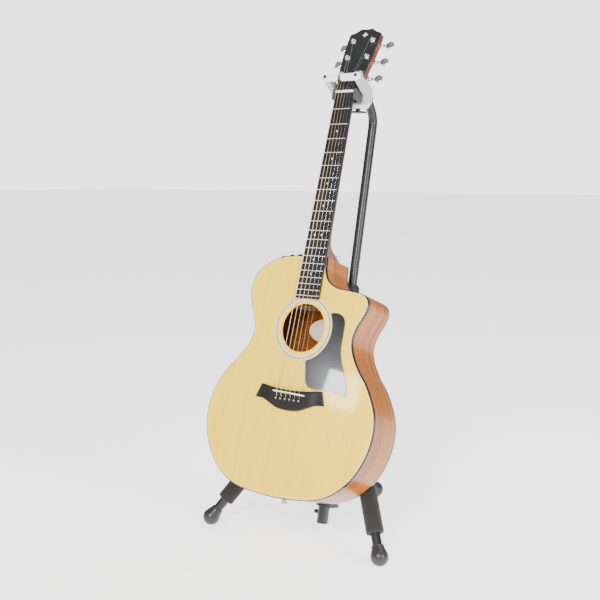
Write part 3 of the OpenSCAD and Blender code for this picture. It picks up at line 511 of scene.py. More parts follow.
def guitar_place(tree):
    """Coordinates in the guitar frame, in metres."""
    where = add_node(tree, "ShaderNodeTexCoord")
    back = GUITAR.inverted()
    mapping = add_node(tree, "ShaderNodeMapping", {
        "Vector": where.outputs["Object"], "Location": back.to_translation() * MM,
        "Rotation": back.to_euler("XYZ")}, vector_type="POINT")
    return mapping.outputs["Vector"]


def mix_colours(tree, factor, one, two, way="MIX"):
    n = tree.nodes.new("ShaderNodeMix")
    n.data_type = "RGBA"
    n.blend_type = way
    for key, value in ((0, factor), (6, one), (7, two)):
        if isinstance(value, bpy.types.NodeSocket):
            tree.links.new(value, n.inputs[key])
        else:
            n.inputs[key].default_value = value if key == 0 else (*value, 1)
    return n.outputs[2]


def bumped(tree, shader, height, strength, distance):
    n = add_node(tree, "ShaderNodeBump", {"Height": height, "Strength": strength, "Distance": distance})
    tree.links.new(n.outputs["Normal"], shader.inputs["Normal"])


def plain_finish(name, colour, low, high, patch=20.0, bump=0.0, bump_scale=400.0, **constants):
    """A single-colour finish whose roughness varies a little from place to place."""
    finish, tree, shader = new_finish(name, Base_Color=(*colour, 1), **constants)
    where = add_node(tree, "ShaderNodeTexCoord")
    wear = add_node(tree, "ShaderNodeGroup", node_tree=WEAR)
    tree.links.new(where.outputs["Object"], wear.inputs["Place"])
    for label, value in (("Scale", patch), ("Low", low), ("High", high)):
        wear.inputs[label].default_value = value
    tree.links.new(wear.outputs["Roughness"], shader.inputs["Roughness"])
    if bump:
        fine = add_node(tree, "ShaderNodeTexNoise", {
            "Vector": where.outputs["Object"], "Scale": bump_scale, "Detail": 3.0})
        bumped(tree, shader, fine.outputs[0], bump, 0.0004)
    return finish


def wood_finish(name, pale, dark, lines, stretch, sharpness, cloud_tone, low, high, use_uv=False,
                swing=0.5, mirror=False, **constants):
    """Wood whose streaks run up the neck, or along a piece's own map."""
    finish, tree, shader = new_finish(name, **constants)
    if use_uv:
        spot = add_node(tree, "ShaderNodeUVMap", uv_map="UVMap").outputs["UV"]
        split = add_node(tree, "ShaderNodeSeparateXYZ", {"Vector": spot})
        spot = add_node(tree, "ShaderNodeCombineXYZ", {
            "X": split.outputs["Y"], "Y": 0.0, "Z": split.outputs["X"]}).outputs["Vector"]
    else:
        spot = guitar_place(tree)
        if mirror:
            split = add_node(tree, "ShaderNodeSeparateXYZ", {"Vector": spot})
            folded = add_node(tree, "ShaderNodeMath", {0: split.outputs["X"]}, operation="ABSOLUTE")
            spot = add_node(tree, "ShaderNodeCombineXYZ", {
                "X": folded.outputs[0], "Y": split.outputs["Y"], "Z": split.outputs["Z"]}).outputs["Vector"]
    grain = add_node(tree, "ShaderNodeGroup", node_tree=GRAIN)
    tree.links.new(spot, grain.inputs["Place"])
    for label, value in (("Lines", lines), ("Stretch", stretch), ("Sharpness", sharpness)):
        grain.inputs[label].default_value = value
    base = mix_colours(tree, grain.outputs["Streak"], pale, dark)
    toned = mix_colours(tree, grain.outputs["Cloud"], (1, 1, 1), cloud_tone)
    colour = mix_colours(tree, swing, base, toned, "MULTIPLY")
    tree.links.new(colour, shader.inputs["Base Color"])
    wear = add_node(tree, "ShaderNodeGroup", node_tree=WEAR)
    tree.links.new(spot, wear.inputs["Place"])
    for label, value in (("Scale", 14.0), ("Low", low), ("High", high)):
        wear.inputs[label].default_value = value
    tree.links.new(wear.outputs["Roughness"], shader.inputs["Roughness"])
    bumped(tree, shader, grain.outputs["Streak"], 0.06, 0.0003)
    return finish


spruce = wood_finish("Lacquered spruce", (1.0, 0.74, 0.02), (0.94, 0.56, 0.012), 900.0, 0.012, 0.22,
                     (0.97, 0.86, 0.6), 0.3, 0.4, mirror=True, swing=0.8, Coat_Weight=0.25,
                     Coat_Roughness=0.05)
side_wood = wood_finish("Lacquered side wood", (0.64, 0.21, 0.022), (0.13, 0.032, 0.005), 90.0, 0.025, 0.35,
                        (0.5, 0.36, 0.26), 0.25, 0.35, use_uv=True, swing=0.9, Coat_Weight=0.15,
                        Specular_IOR_Level=0.3,
                        Coat_Roughness=0.04)
back_wood = wood_finish("Lacquered back wood", (0.48, 0.17, 0.03), (0.15, 0.04, 0.01), 170.0, 0.04, 0.25,
                        (0.55, 0.42, 0.34), 0.2, 0.3, mirror=True, swing=0.8, Coat_Weight=0.7,
                        Coat_Roughness=0.04)
neck_wood = wood_finish("Satin neck wood", (0.17, 0.045, 0.018), (0.08, 0.02, 0.008), 300.0, 0.03, 0.25,
                        (0.7, 0.6, 0.55), 0.28, 0.38, swing=0.6, Coat_Weight=0.2, Coat_Roughness=0.2)
dark_wood = wood_finish("Oiled dark wood", (0.016, 0.013, 0.012), (0.005, 0.004, 0.004), 500.0, 0.03, 0.25,
                        (0.7, 0.68, 0.66), 0.36, 0.5, swing=0.5, Specular_IOR_Level=0.3)
bare_wood = wood_finish("Bare inner wood", (0.50, 0.34, 0.17), (0.38, 0.24, 0.11), 300.0, 0.03, 0.25,
                        (0.85, 0.8, 0.7), 0.55, 0.7, swing=0.5)
binding_black = plain_finish("Black binding", (0.006, 0.006, 0.007), 0.12, 0.2, Coat_Weight=0.3)
guard_black = plain_finish("Glossy black sheet", (0.008, 0.009, 0.012), 0.16, 0.24, Coat_Weight=0.6,
                           Coat_Roughness=0.03)
cream = plain_finish("Cream inlay", (0.90, 0.76, 0.46), 0.2, 0.3, Coat_Weight=0.3)
bone = plain_finish("Polished bone", (0.86, 0.82, 0.72), 0.25, 0.35, Subsurface_Weight=0.05)
fret_metal = plain_finish("Fret wire", (0.72, 0.71, 0.69), 0.18, 0.3, Metallic=1.0)
bronze_wire = plain_finish("Bronze winding", (0.74, 0.60, 0.42), 0.28, 0.42, patch=300.0, Metallic=1.0)
steel_wire = plain_finish("Plain steel wire", (0.72, 0.72, 0.73), 0.2, 0.3, Metallic=1.0)
chrome = plain_finish("Bright chrome", (0.82, 0.83, 0.85), 0.05, 0.12, Metallic=1.0)
bare_steel = plain_finish("Bare steel", (0.55, 0.55, 0.56), 0.3, 0.45, Metallic=1.0)
column_paint = plain_finish("Grey column paint", (0.022, 0.022, 0.024), 0.3, 0.4, Coat_Weight=0.3,
                            Coat_Roughness=0.2)
mast_paint = plain_finish("Black mast paint", (0.005, 0.005, 0.006), 0.34, 0.44, Coat_Weight=0.1,
                          Coat_Roughness=0.15)
leg_paint = plain_finish("Black leg paint", (0.006, 0.006, 0.007), 0.3, 0.4, Coat_Weight=0.1,
                         Coat_Roughness=0.1)
black_plastic = plain_finish("Black moulded plastic", (0.010, 0.010, 0.011), 0.42, 0.55, bump=0.15)
preamp_plastic = plain_finish("Knob plastic", (0.02, 0.02, 0.023), 0.35, 0.5)
foam_finish = plain_finish("Closed foam", (0.013, 0.0125, 0.011), 0.85, 0.95, bump=0.5, bump_scale=1400.0,
                           Sheen_Weight=0.1)
foot_rubber = plain_finish("Grey rubber", (0.022, 0.022, 0.024), 0.33, 0.45, bump=0.05)
yoke_white = plain_finish("White moulded plastic", (0.90, 0.91, 0.93), 0.25, 0.35, Coat_Weight=0.1)
yoke_grey = plain_finish("Grey moulded arm", (0.42, 0.43, 0.47), 0.3, 0.42)
# The cradle rubber's near-black colour is painted shade: it stands in for the shadow inside the fork behind
# the nut.
cradle_rubber = plain_finish("Cradle rubber darkened as painted shade", (0.045, 0.042, 0.04), 0.55, 0.7)

slot_finishes = {
    "column_paint": column_paint, "mast_paint": mast_paint, "leg_paint": leg_paint,
    "black_plastic": black_plastic, "bare_steel": bare_steel, "foam_rubber": foam_finish,
    "foot_rubber": foot_rubber, "yoke_plastic": yoke_white, "cradle_rubber": cradle_rubber,
    "spruce": spruce, "side_wood": back_wood, "lining_wood": bare_wood, "neck_wood": neck_wood,
    "dark_wood": dark_wood, "binding_plastic": binding_black, "cream_inlay": cream,
    "guard_plastic": guard_black, "white_bone": bone, "fret_metal": fret_metal,
    "string_bronze": bronze_wire, "tuner_chrome": chrome, "preamp_plastic": preamp_plastic,
}
for part in frame["record"]["subparts"]:
    paint = slot_finishes[part["material_slot"]]
    mesh = frame["nodes"][part["node"]].data
    for spot in range(len(mesh.materials)):
        mesh.materials[spot] = paint

# ---- Guitar outline ----

LOWER_HALF = [(66, 4.5), (108, 14), (145, 36), (175, 70), (194, 111), (201, 154),
              (195, 196), (171, 243), (145, 275), (126, 307), (120, 334), (127, 362)]
BASS_SHOULDER = [(141, 394), (147.5, 424), (140, 454), (121, 475), (93, 491), (62, 498), (27, 500)]
HORN = [(137, 382), (143, 402), (138, 419), (121, 429), (92, 433), (64, 436.5), (41, 450),
        (31, 469), (28.5, 487), (27, 500)]
OUTLINE_STEPS = 8


def body_outline():
    treble = smooth([(0, 0)] + LOWER_HALF + HORN, OUTLINE_STEPS)
    bass = smooth([(0, 0)] + LOWER_HALF + BASS_SHOULDER, OUTLINE_STEPS)
    far = [Vector((-p.x, p.y)) for p in reversed(bass) if p.x > 1]
    return [p + Vector((0, TAIL_Z)) for p in treble + far]


OUTLINE = body_outline()


def back_y(x, z):
    """Where the arched back lies behind a point of the outline."""
    return BODY_DEPTH - (z - TAIL_Z) * DEPTH_TAPER / BODY_LEN - x * x / (2 * BACK_RADIUS)


def band(profile, at_back=False):
    """A strip round the body: profile of (distance inwards, distance from the face)."""
    rings = []
    for d, depth in profile:
        loop = inset(OUTLINE, d)
        rings.append([(p.x, back_y(p.x, p.y) - depth if at_back else depth, p.y) for p in loop])
    return skin(rings, looped=True)


def body_sides():
    """The bent side, with a map that runs along it and across its depth."""
    rows = 10
    inner, outer = inset(OUTLINE, SIDE_T), OUTLINE
    rings = []
    for loop, order in ((outer, range(rows + 1)), (inner, range(rows, -1, -1))):
        for j in order:
            t = j / rows
            rings.append([(p.x, BINDING_H + t * (back_y(p.x, p.y) - 2 * BINDING_H), p.y) for p in loop])
    obj = piece("side_shell", skin(rings, looped=True), GUITAR, "guitar", "side_wood", side_wood,
                "body_sides", crease=40)
    mesh = obj.data
    lengths = [0]
    for a, b in zip(OUTLINE, OUTLINE[1:]):
        lengths.append(lengths[-1] + (b - a).length)
    back = GUITAR.inverted()
    nearest = KDTree(2 * len(outer))
    for i, p in enumerate(outer + inner):
        nearest.insert((p.x, p.y, 0), i % len(outer))
    nearest.balance()
    uv = mesh.uv_layers.new(name="UVMap")
    total = lengths[-1] + (OUTLINE[0] - OUTLINE[-1]).length
    for face in mesh.polygons:
        spots = []
        for k in face.loop_indices:
            q = back @ (mesh.vertices[mesh.loops[k].vertex_index].co / MM)
            spots.append((k, lengths[nearest.find((q.x, q.z, 0))[1]], q.y))
        wraps = max(s[1] for s in spots) - min(s[1] for s in spots) > total / 2
        for k, u, v in spots:
            uv.data[k].uv = ((u + total if wraps and u < total / 2 else u) * MM, v * MM)
    return obj


body_sides()

EDGE = 0.7
piece("front_binding", band([(0, EDGE), (EDGE * 0.3, EDGE * 0.3), (EDGE, 0), (SIDE_T, 0),
                             (SIDE_T, BINDING_H), (0, BINDING_H)]),
      GUITAR, "guitar", "binding_plastic", binding_black, "bindings", crease=60)
piece("back_binding", band([(0, EDGE), (EDGE * 0.3, EDGE * 0.3), (EDGE, 0), (SIDE_T, 0),
                            (SIDE_T, BINDING_H), (0, BINDING_H)], at_back=True),
      GUITAR, "guitar", "binding_plastic", binding_black, crease=60)
PURFLING_T = 0.06
for name, near, far_in in (("outer_purfling", 0.1, 0.7), ("inner_purfling", 1.3, 1.8)):
    piece(name, band([(SIDE_T + near, -PURFLING_T), (SIDE_T + far_in, -PURFLING_T),
                      (SIDE_T + far_in, 0.3), (SIDE_T + near, 0.3)]),
          GUITAR, "guitar", "cream_inlay", cream)
piece("back_purfling", band([(SIDE_T + 0.1, -PURFLING_T), (SIDE_T + 0.8, -PURFLING_T),
                             (SIDE_T + 0.8, 0.3), (SIDE_T + 0.1, 0.3)], at_back=True),
      GUITAR, "guitar", "cream_inlay", cream)


def arched_back():
    """The back as a grid that follows its arch inside the binding."""
    loop = inset(OUTLINE, SIDE_T)
    centre = Vector((0, TAIL_Z + 240))
    steps = 12
    outer, inner = [], []
    for depth, rings in ((0, outer), (BACK_T, inner)):
        for s in range(steps, 0, -1):
            ring = [centre + (p - centre) * s / steps for p in loop]
            rings.append([(p.x, back_y(p.x, p.y) - depth, p.y) for p in ring])
    outside = skin(inner[::-1] + outer, capped=True)
    return outside


piece("arched_back", arched_back(), GUITAR, "guitar", "side_wood", back_wood, "back_plate", crease=40)
piece("back_strip", skin([[(x, back_y(0, z) + d, z) for x, d in ((-3, 0.1), (3, 0.1), (3, -0.3), (-3, -0.3))]
                          for z in (TAIL_Z + 3, HEEL_Z - 3)]),
      GUITAR, "guitar", "dark_wood", dark_wood)

# A blank oval paper label glued inside the back, seen through the soundhole
paper = plain_finish("Cream paper", (0.86, 0.78, 0.56), 0.6, 0.75)
LABEL_AT = (0, 368)
LABEL_W = 86
LABEL_H = 52
label_rings = []
for lift, size in ((0.02, 1.0), (0.3, 1.0), (0.34, 0.99)):
    rim = [(LABEL_AT[0] + LABEL_W / 2 * size * math.cos(math.pi * k / 32),
            LABEL_AT[1] + LABEL_H / 2 * size * math.sin(math.pi * k / 32)) for k in range(64)]
    label_rings.append([(x, back_y(x, z) - BACK_T - lift, z) for x, z in rim])
piece("paper_label", skin(label_rings), GUITAR, "guitar", "cream_inlay", paper)

# ---- Rosette ----

AT_HOLE = GUITAR @ shift(0, 0, HOLE_Z) @ FACING


def hole_ring(name, inner, outer, proud, deep, slot, finish, replaces=()):
    """A flat ring let into the top round the soundhole."""
    profile = [(inner, deep), (inner, -proud), (outer, -proud), (outer, deep)]
    return piece(name, ring_lathe(profile, 128), AT_HOLE, "guitar", slot, finish, replaces)


hole_ring("rosette_field", ROSETTE_R, ROSETTE_R + ROSETTE_W, 0.02, 0.8, "cream_inlay", cream, "rosette")
for name, start, width in (("rosette_inner_line", 0.5, 0.5), ("rosette_second_line", 2.9, 0.35),
                           ("rosette_middle_line", 5.2, 0.5), ("rosette_fourth_line", 8.3, 0.35),
                           ("rosette_outer_line", ROSETTE_W - 1.0, 0.6)):
    hole_ring(name, ROSETTE_R + start, ROSETTE_R + start + width, 0.05, 0.5, "side_wood", back_wood)
hole_ring("rosette_centre_band", ROSETTE_R + 5.7, ROSETTE_R + 8.3, 0.04, 0.5, "side_wood", bare_wood)

# ---- Bridge, saddle and pins ----

BRIDGE_T = 8
BRIDGE_WING = 3.4
PIN_Z = SADDLE_Z - 13
PIN_R = 2.5
SADDLE_LEN = 75
SADDLE_TOP = 12.5
SADDLE_SKEW = 2
BRIDGE_UPPER = [(-83, 8), (-73.5, 12.8), (-40, 8.3), (0, 6.5), (40, 8.3), (73.5, 12.8), (83, 8)]
BRIDGE_LOWER = [(-83, -15.7), (-62, -17.7), (-45, -24.7), (-25, -32.7), (0, -35.2),
                (25, -32.7), (45, -24.7), (62, -17.7), (83, -15.7)]


def height_along(curve, x):
    """The height of a left-to-right curve at x."""
    for a, b in zip(curve, curve[1:]):
        if a.x <= x <= b.x:
            return a.y + (b.y - a.y) * (x - a.x) / max(b.x - a.x, 1e-6)
    return curve[0].y if x < curve[0].x else curve[-1].y


def carved_bridge():
    """A thick middle, scooped wings with slanted ends, and softened edges."""
    upper, lower = smooth(BRIDGE_UPPER, 6), smooth(BRIDGE_LOWER, 6)
    across = 16
    rings = []
    for i in range(81):
        s = -1 + 2 * i / 80
        foot_x, top_x = 83 * s, 73.5 * s
        low, high = height_along(lower, foot_x), height_along(upper, top_x)
        ring = [(foot_x, 0.02, low)]
        for k in range(across + 1):
            t = 0.5 - 0.5 * math.cos(math.pi * k / across)
            x, z = foot_x + (top_x - foot_x) * t, low + (high - low) * t
            wing = max(0, min(1, (abs(x) - 44) / 28))
            full = BRIDGE_T - (BRIDGE_T - BRIDGE_WING) * (0.5 - 0.5 * math.cos(math.pi * wing))
            rim = min(z - low, high - z) / 1.6
            end = (1 - abs(s)) * 83 / 1.2
            soft = max(1 - min(1, rim), 1 - min(1, end))
            ring.append((x, -full * (1 - 0.22 * soft ** 2), z))
        ring.append((top_x, 0.02, high))
        rings.append([(a, b, c + SADDLE_Z) for a, b, c in ring])
    return skin(rings)


piece("carved_bridge", carved_bridge(), GUITAR, "guitar", "dark_wood", dark_wood, "bridge", crease=50)
at_saddle = GUITAR @ shift(0, 0, SADDLE_Z) @ turn(SADDLE_SKEW, "Y")
piece("rounded_saddle", block((-SADDLE_LEN / 2, -SADDLE_TOP, -1.5), (SADDLE_LEN / 2, -3, 1.5)), at_saddle,
      "guitar", "white_bone", bone, "saddle", bevel=1.1, segments=4)


def pin_x(i):
    return -27.5 + 11 * i


pin_spots = [GUITAR @ shift(pin_x(i), 0, PIN_Z) @ FACING @ turn(180, "X") for i in range(6)]
pin_shape = lathe([(0, -10), (PIN_R - 0.4, -9), (PIN_R, 6), (PIN_R, BRIDGE_T + 0.2), (3.5, BRIDGE_T + 0.2),
                   (3.9, BRIDGE_T + 1.0), (3.7, BRIDGE_T + 2.2), (2.9, BRIDGE_T + 3.4),
                   (1.6, BRIDGE_T + 4.1), (0, BRIDGE_T + 4.3)], 24)
copies("bridge_pin_set", pin_shape, [(m, (1, 1, 1)) for m in pin_spots], "guitar", "guard_plastic",
       guard_black, "bridge_pins")
copies("pin_dots", lathe([(0, BRIDGE_T + 4), (1.0, BRIDGE_T + 4), (1.0, BRIDGE_T + 4.36),
                          (0, BRIDGE_T + 4.42)], 16), [(m, (1, 1, 1)) for m in pin_spots],
       "guitar", "cream_inlay", cream)

# ---- Pickguard ----

GUARD_R = ROSETTE_R + ROSETTE_W + 1
GUARD_TOP = 30
GUARD_LOW = -73
GUARD_SIDE = [(73, 37), (89, 32), (97.5, 18), (98.5, -9), (99, -36), (104, -57), (115, -82), (125, -108),
              (125, -131)]
GUARD_FOOT = [(125, -131), (106, -125.5), (82, -121.5), (58.5, -122), (38.5, -119.5), (29, -108.5), (24, -86)]


def guard_outline():
    """The sheet's outline, which follows a circle beside the rosette."""
    def on_circle(angle):
        return GUARD_R * math.cos(radians(angle)), GUARD_R * math.sin(radians(angle))

    start = on_circle(GUARD_TOP)
    arc = [Vector(on_circle(a)) for a in range(GUARD_LOW + 5, GUARD_TOP - 4, 5)]
    foot = [p for p in smooth(GUARD_FOOT + [on_circle(GUARD_LOW)], 6) if p.x < GUARD_FOOT[0][0] - 1]
    return [p + Vector((0, HOLE_Z)) for p in smooth([start] + GUARD_SIDE, 6) + foot + arc]


piece("polished_guard", slab(guard_outline(), -1.2, 0.0), GUITAR, "guitar", "guard_plastic", guard_black,
      "pickguard", bevel=0.5, segments=2, crease=60)

# ---- Neck, fretboard and frets ----

HEEL_DEPTH = BODY_DEPTH - DEPTH_TAPER - 8
NECK_DEPTHS = [(GAP, HEEL_DEPTH), (7, HEEL_DEPTH - 2), (12, HEEL_DEPTH * 0.78), (18, HEEL_DEPTH * 0.52),
               (26, HEEL_DEPTH * 0.36), (37, NECK_D + 11), (50, NECK_D + 6.5), (66, NECK_D + 4)]
BOARD_RADIUS = 406


def board_half(z):
    return NUT_W / 2 + (BOARD_END_W - NUT_W) / 2 * (NUT_Z - z) / (NUT_Z - BOARD_END_Z)


def fret_z(n):
    return NUT_Z - SCALE_LENGTH * (1 - 2 ** (-n / 12))


def neck_ring(z, deep, half, sides=28):
    ring = [(-half * math.cos(math.pi * k / sides), deep * math.sin(math.pi * k / sides), z)
            for k in range(sides + 1)]
    return ring


def neck_shank():
    heel = smooth(NECK_DEPTHS, 5)
    rings = [neck_ring(HEEL_Z + p.x, p.y, board_half(HEEL_Z + p.x) - 0.1) for p in heel]
    top = HEAD_Z + 3
    for i in range(1, 15):
        t = i / 14
        z = HEEL_Z + 66 + (top - HEEL_Z - 66) * t
        deep = (NECK_D + 4) + (NECK_D - NECK_D - 4) * min(1, t * 1.05)
        rings.append(neck_ring(z, deep + max(0, t - 0.93) * 14, board_half(min(z, NUT_Z)) - 0.1))
    return skin(rings)


def head_outline():
    half = smooth([(NUT_W / 2, 0), (NUT_W / 2 + 1.6, 0.06 * HEAD_LEN), (NUT_W / 2 + 8.5, 0.2 * HEAD_LEN),
                   (NUT_W / 2 + 12, 0.36 * HEAD_LEN), (NUT_W / 2 + 15, 0.55 * HEAD_LEN),
                   (NUT_W / 2 + 16.5, 0.76 * HEAD_LEN), (NUT_W / 2 + 16.8, 0.915 * HEAD_LEN)], 6)
    crown = smooth([(NUT_W / 2 + 16.8, 0.915 * HEAD_LEN), (NUT_W / 2 + 5, 0.945 * HEAD_LEN),
                    (NUT_W / 2 - 3, 0.975 * HEAD_LEN), (12.8, HEAD_LEN)], 6)
    middle = [Vector((5, 0.992 * HEAD_LEN)), Vector((-5, 0.992 * HEAD_LEN))]
    right = half[:-1] + crown
    return right + middle + [Vector((-p.x, p.y)) for p in reversed(right)]


piece("carved_neck", neck_shank(), GUITAR, "guitar", "neck_wood", neck_wood, "neck", crease=40)
piece("headstock", slab(head_outline(), VENEER_T, VENEER_T + HEAD_T), HEAD, "guitar", "neck_wood", neck_wood,
      bevel=0.8, crease=50)
piece("headstock_face", slab([p for p in head_outline()], 0, VENEER_T), HEAD, "guitar", "guard_plastic",
      guard_black, "headstock_veneer", bevel=0.3, segments=2, crease=50)


def crowned_board():
    rings = []
    for z in (BOARD_END_Z, NUT_Z):
        half = board_half(z)
        drop = half * half / (2 * BOARD_RADIUS)
        ring = [(-half, 0, z)]
        for k in range(13):
            x = -half + 2 * half * k / 12
            ring.append((x, -BOARD_T + x * x / (2 * BOARD_RADIUS), z))
        ring.append((half, 0, z))
        rings.append(ring)
    return skin(rings)


piece("crowned_fretboard", crowned_board(), GUITAR, "guitar", "dark_wood", dark_wood, "fretboard",
      bevel=0.4, segments=2, crease=50)


def fret_bar():
    """A fret one millimetre long each way, to be stretched to its place."""
    rings = []
    for k in range(13):
        x = -1 + k / 6
        ring = [(x, 0.02, -1.1), (x, -0.45, -1.0), (x, -0.9, -0.55), (x, -1.05, 0), (x, -0.9, 0.55),
                (x, -0.45, 1.0), (x, 0.02, 1.1)]
        rings.append(ring)
    return skin(rings)


fret_spots = [(GUITAR @ shift(0, -BOARD_T + 0.35, fret_z(n)), (board_half(fret_z(n)) - 0.2, 1, 1))
              for n in range(1, FRETS + 1)]
copies("fret_set", fret_bar(), fret_spots, "guitar", "fret_metal", fret_metal, "frets", crease=60)
dot_spots = [(0, n) for n in (3, 5, 7, 9, 15, 17)] + [(-8.5, 12), (8.5, 12)]
copies("position_dots", lathe([(0, 0), (2, 0), (2, 0.16), (0, 0.16)], 24),
       [(GUITAR @ shift(x, -BOARD_T + 0.06, (fret_z(n) + fret_z(n - 1)) / 2) @ FACING
         @ turn(180, "X"), (1, 1, 1)) for x, n in dot_spots],
       "guitar", "cream_inlay", cream, "fret_dots")
side_dots = [(fret_z(n) + fret_z(n - 1)) / 2 for n in (3, 5, 7, 9, 12, 15, 17)]
copies("side_dots", lathe([(0, 0), (1.1, 0), (1.1, 0.25), (0, 0.25)], 16),
       [(GUITAR @ shift(-board_half(z) + 0.1, -3.4, z) @ turn(-90, "Y"), (1, 1, 1)) for z in side_dots],
       "guitar", "cream_inlay", cream)
piece("slotted_nut", block((-NUT_W / 2, -9, NUT_Z), (NUT_W / 2, 0, HEAD_Z)), GUITAR, "guitar", "white_bone",
      bone, "nut", bevel=1.0, segments=4)
ornament = [(6.5 * math.sin(math.pi * k / 12) * (0.35 + 0.65 * abs(math.sin(math.pi * k / 6 + math.pi / 2))),
             151 + 6.5 * math.cos(math.pi * k / 12) * (0.35 + 0.65 * abs(math.cos(math.pi * k / 6))))
            for k in range(24)]
piece("head_ornament", slab(ornament, -0.12, 0.3), HEAD, "guitar", "cream_inlay", cream)
cover = smooth([(-14, 6), (-13, 14), (-7, 26), (-6.5, 40), (-5, 54), (0, 60)], 6)
cover += smooth([(0, 60), (5, 54), (6.5, 40), (7, 26), (13, 14), (14, 6)], 6)[1:]
piece("rod_cover", slab(cover[::-1], -1.5, 0), HEAD, "guitar", "guard_plastic", guard_black,
      "truss_rod_cover", bevel=0.4, segments=2, crease=50)

# ---- Tuners ----

POST_R = 3
BUTTON_X = 57
WORM_Y = VENEER_T + HEAD_T + 6
sides_and_rows = {1: (-1, 0), 2: (-1, 1), 3: (-1, 2), 4: (1, 2), 5: (1, 1), 6: (1, 0)}


def post_s(row):
    return HEAD_LEN * (0.262 + 0.268 * row)


AWAY = FACING @ turn(180, "X")
post_places = [HEAD @ shift(side * POST_X, 0, post_s(row)) @ AWAY for side, row in sides_and_rows.values()]
post_shape = lathe([(0, -14), (POST_R, -14), (POST_R, 2.6), (POST_R - 0.5, 3.4), (POST_R - 0.6, 5.2),
                    (POST_R - 0.1, 6.2), (POST_R, 7.4), (POST_R - 0.7, 8), (0, 7.9)], 32)
copies("string_posts", post_shape, [(m, (1, 1, 1)) for m in post_places], "guitar", "tuner_chrome", chrome,
       "tuner_posts")
bushing = ring_lathe([(POST_R + 0.05, -15), (4.6, -15), (4.6, 0), (6.0, 0), (6.1, 0.5), (5.8, 1.5),
                      (5.0, 2.2), (4.0, 2.4), (POST_R + 0.05, 2.3)], 48)
copies("post_bushings", bushing, [(m, (1, 1, 1)) for m in post_places], "guitar", "tuner_chrome", chrome,
       "tuner_bushings")
back_places = [HEAD @ shift(side * POST_X, VENEER_T + HEAD_T, post_s(row))
               @ (Matrix.Rotation(math.pi, 4, "Y") if side < 0 else WORLD)
               for side, row in sides_and_rows.values()]


def gear_case():
    body = skin([[(x, y, z) for x, z in rounded([(-8 + d, -8 + d, 3), (8 - d, -8 + d, 3), (8 - d, 8 - d, 3),
                                                (-8 + d, 8 - d, 3)])]
                 for y, d in ((0, 0), (8.5, 0), (10.6, 0.6), (11.7, 1.8), (12, 3))])
    snout = moved(lathe([(0, 0), (4.2, 0), (4.2, 4.5), (3.6, 5.6), (0, 5.8)], 32),
                  shift(7.8, 6, 0) @ turn(90, "Y"))
    foot = slab(rounded([(-4, -13, 2), (4, -13, 2), (4, 13, 2), (-4, 13, 2)]), 0, 1.6)
    screws = [moved(lathe([(0, 1.4), (2, 1.4), (2, 1.9), (1.2, 2.4), (0, 2.5)], 20),
                    shift(0, 0, z) @ turn(-90, "X")) for z in (-10.6, 10.6)]
    return joined(body, snout, foot, *screws)


copies("gear_cases", gear_case(), [(m, (1, 1, 1)) for m in back_places], "guitar", "tuner_chrome", chrome,
       "tuner_housings", crease=40)


def tuner_button():
    """A shaft, a collar and a rounded button, along x from the gear case."""
    reach = BUTTON_X - POST_X
    shaft = moved(lathe([(0, -7), (2, -7), (2, reach), (0, reach)], 24), turn(90, "Y"))
    collar = moved(ring_lathe([(1.9, 14.4), (3, 14.4), (3.2, 15.5), (2.6, 16.5), (3.2, 17.5), (3, 22),
                               (1.9, 23)], 32),
                   turn(90, "Y"))
    outline = rounded([(-9, -4, 3), (-2, -10, 5), (9, -10, 7), (9, 10, 7), (-2, 10, 5), (-9, 4, 3)], 8)
    layers = []
    for y, grow in ((-3, 2.6), (-2.6, 1.2), (-1.6, 0.3), (0, 0), (1.6, 0.3), (2.6, 1.2), (3, 2.6)):
        layers.append([((reach + p.x * (1 - grow / 11)), y, p.y * (1 - grow / 11)) for p in outline])
    return joined(shaft, collar, skin(layers))


for number, (side, row) in sides_and_rows.items():
    place = HEAD @ shift(side * POST_X, WORM_Y, post_s(row)) @ (turn(180, "Y") if side < 0 else WORLD)
    piece("tuning_button_%d" % number, tuner_button(), place, "tuner_%d" % number, "tuner_chrome", chrome,
          "tuner_%d" % number, crease=45)

# ---- Strings ----

STRING_D = [1.35, 1.07, 0.81, 0.61, 0.41, 0.3]
STRING_SPREAD_NUT = 36.5
WINDING_TURNS = 2
WINDING_STEPS = 16


def head_point(x, y, s):
    """A headstock place in the guitar frame."""
    return (GUITAR.inverted() @ HEAD) @ Vector((x, y, s))


def string_path(i):
    r = STRING_D[i] / 2
    side, row = (-1, i) if i < 3 else (1, 5 - i)
    x0, x1 = pin_x(i), (i - 2.5) * STRING_SPREAD_NUT / 5
    path = [(x0, -BRIDGE_T - r - 0.1, PIN_Z + 3.6), (x0, -BRIDGE_T - r - GAP, PIN_Z + 5.5),
            (x0, -SADDLE_TOP - r - 0.1, SADDLE_Z - x0 * math.tan(radians(SADDLE_SKEW))),
            (x1, -9 - r - 0.1, NUT_Z + NUT_T / 2)]
    out = POST_R + r + 0.1
    for k in range(WINDING_TURNS * WINDING_STEPS + 1):
        a = side * k * 2 * math.pi / WINDING_STEPS
        path.append(head_point(side * (POST_X - out * math.cos(a)),
                               -6.4 + r + k * (2 * r + 0.1) / WINDING_STEPS,
                               post_s(row) + side * out * math.sin(a)))
    return path


for i in range(6):
    wound = i < 4
    rod("string_%d" % (i + 1), string_path(i), STRING_D[i] / 2, GUITAR, "guitar", "string_bronze",
        bronze_wire if wound else steel_wire, "strings" if i == 0 else (), sides=12)

# ---- Body hardware ----

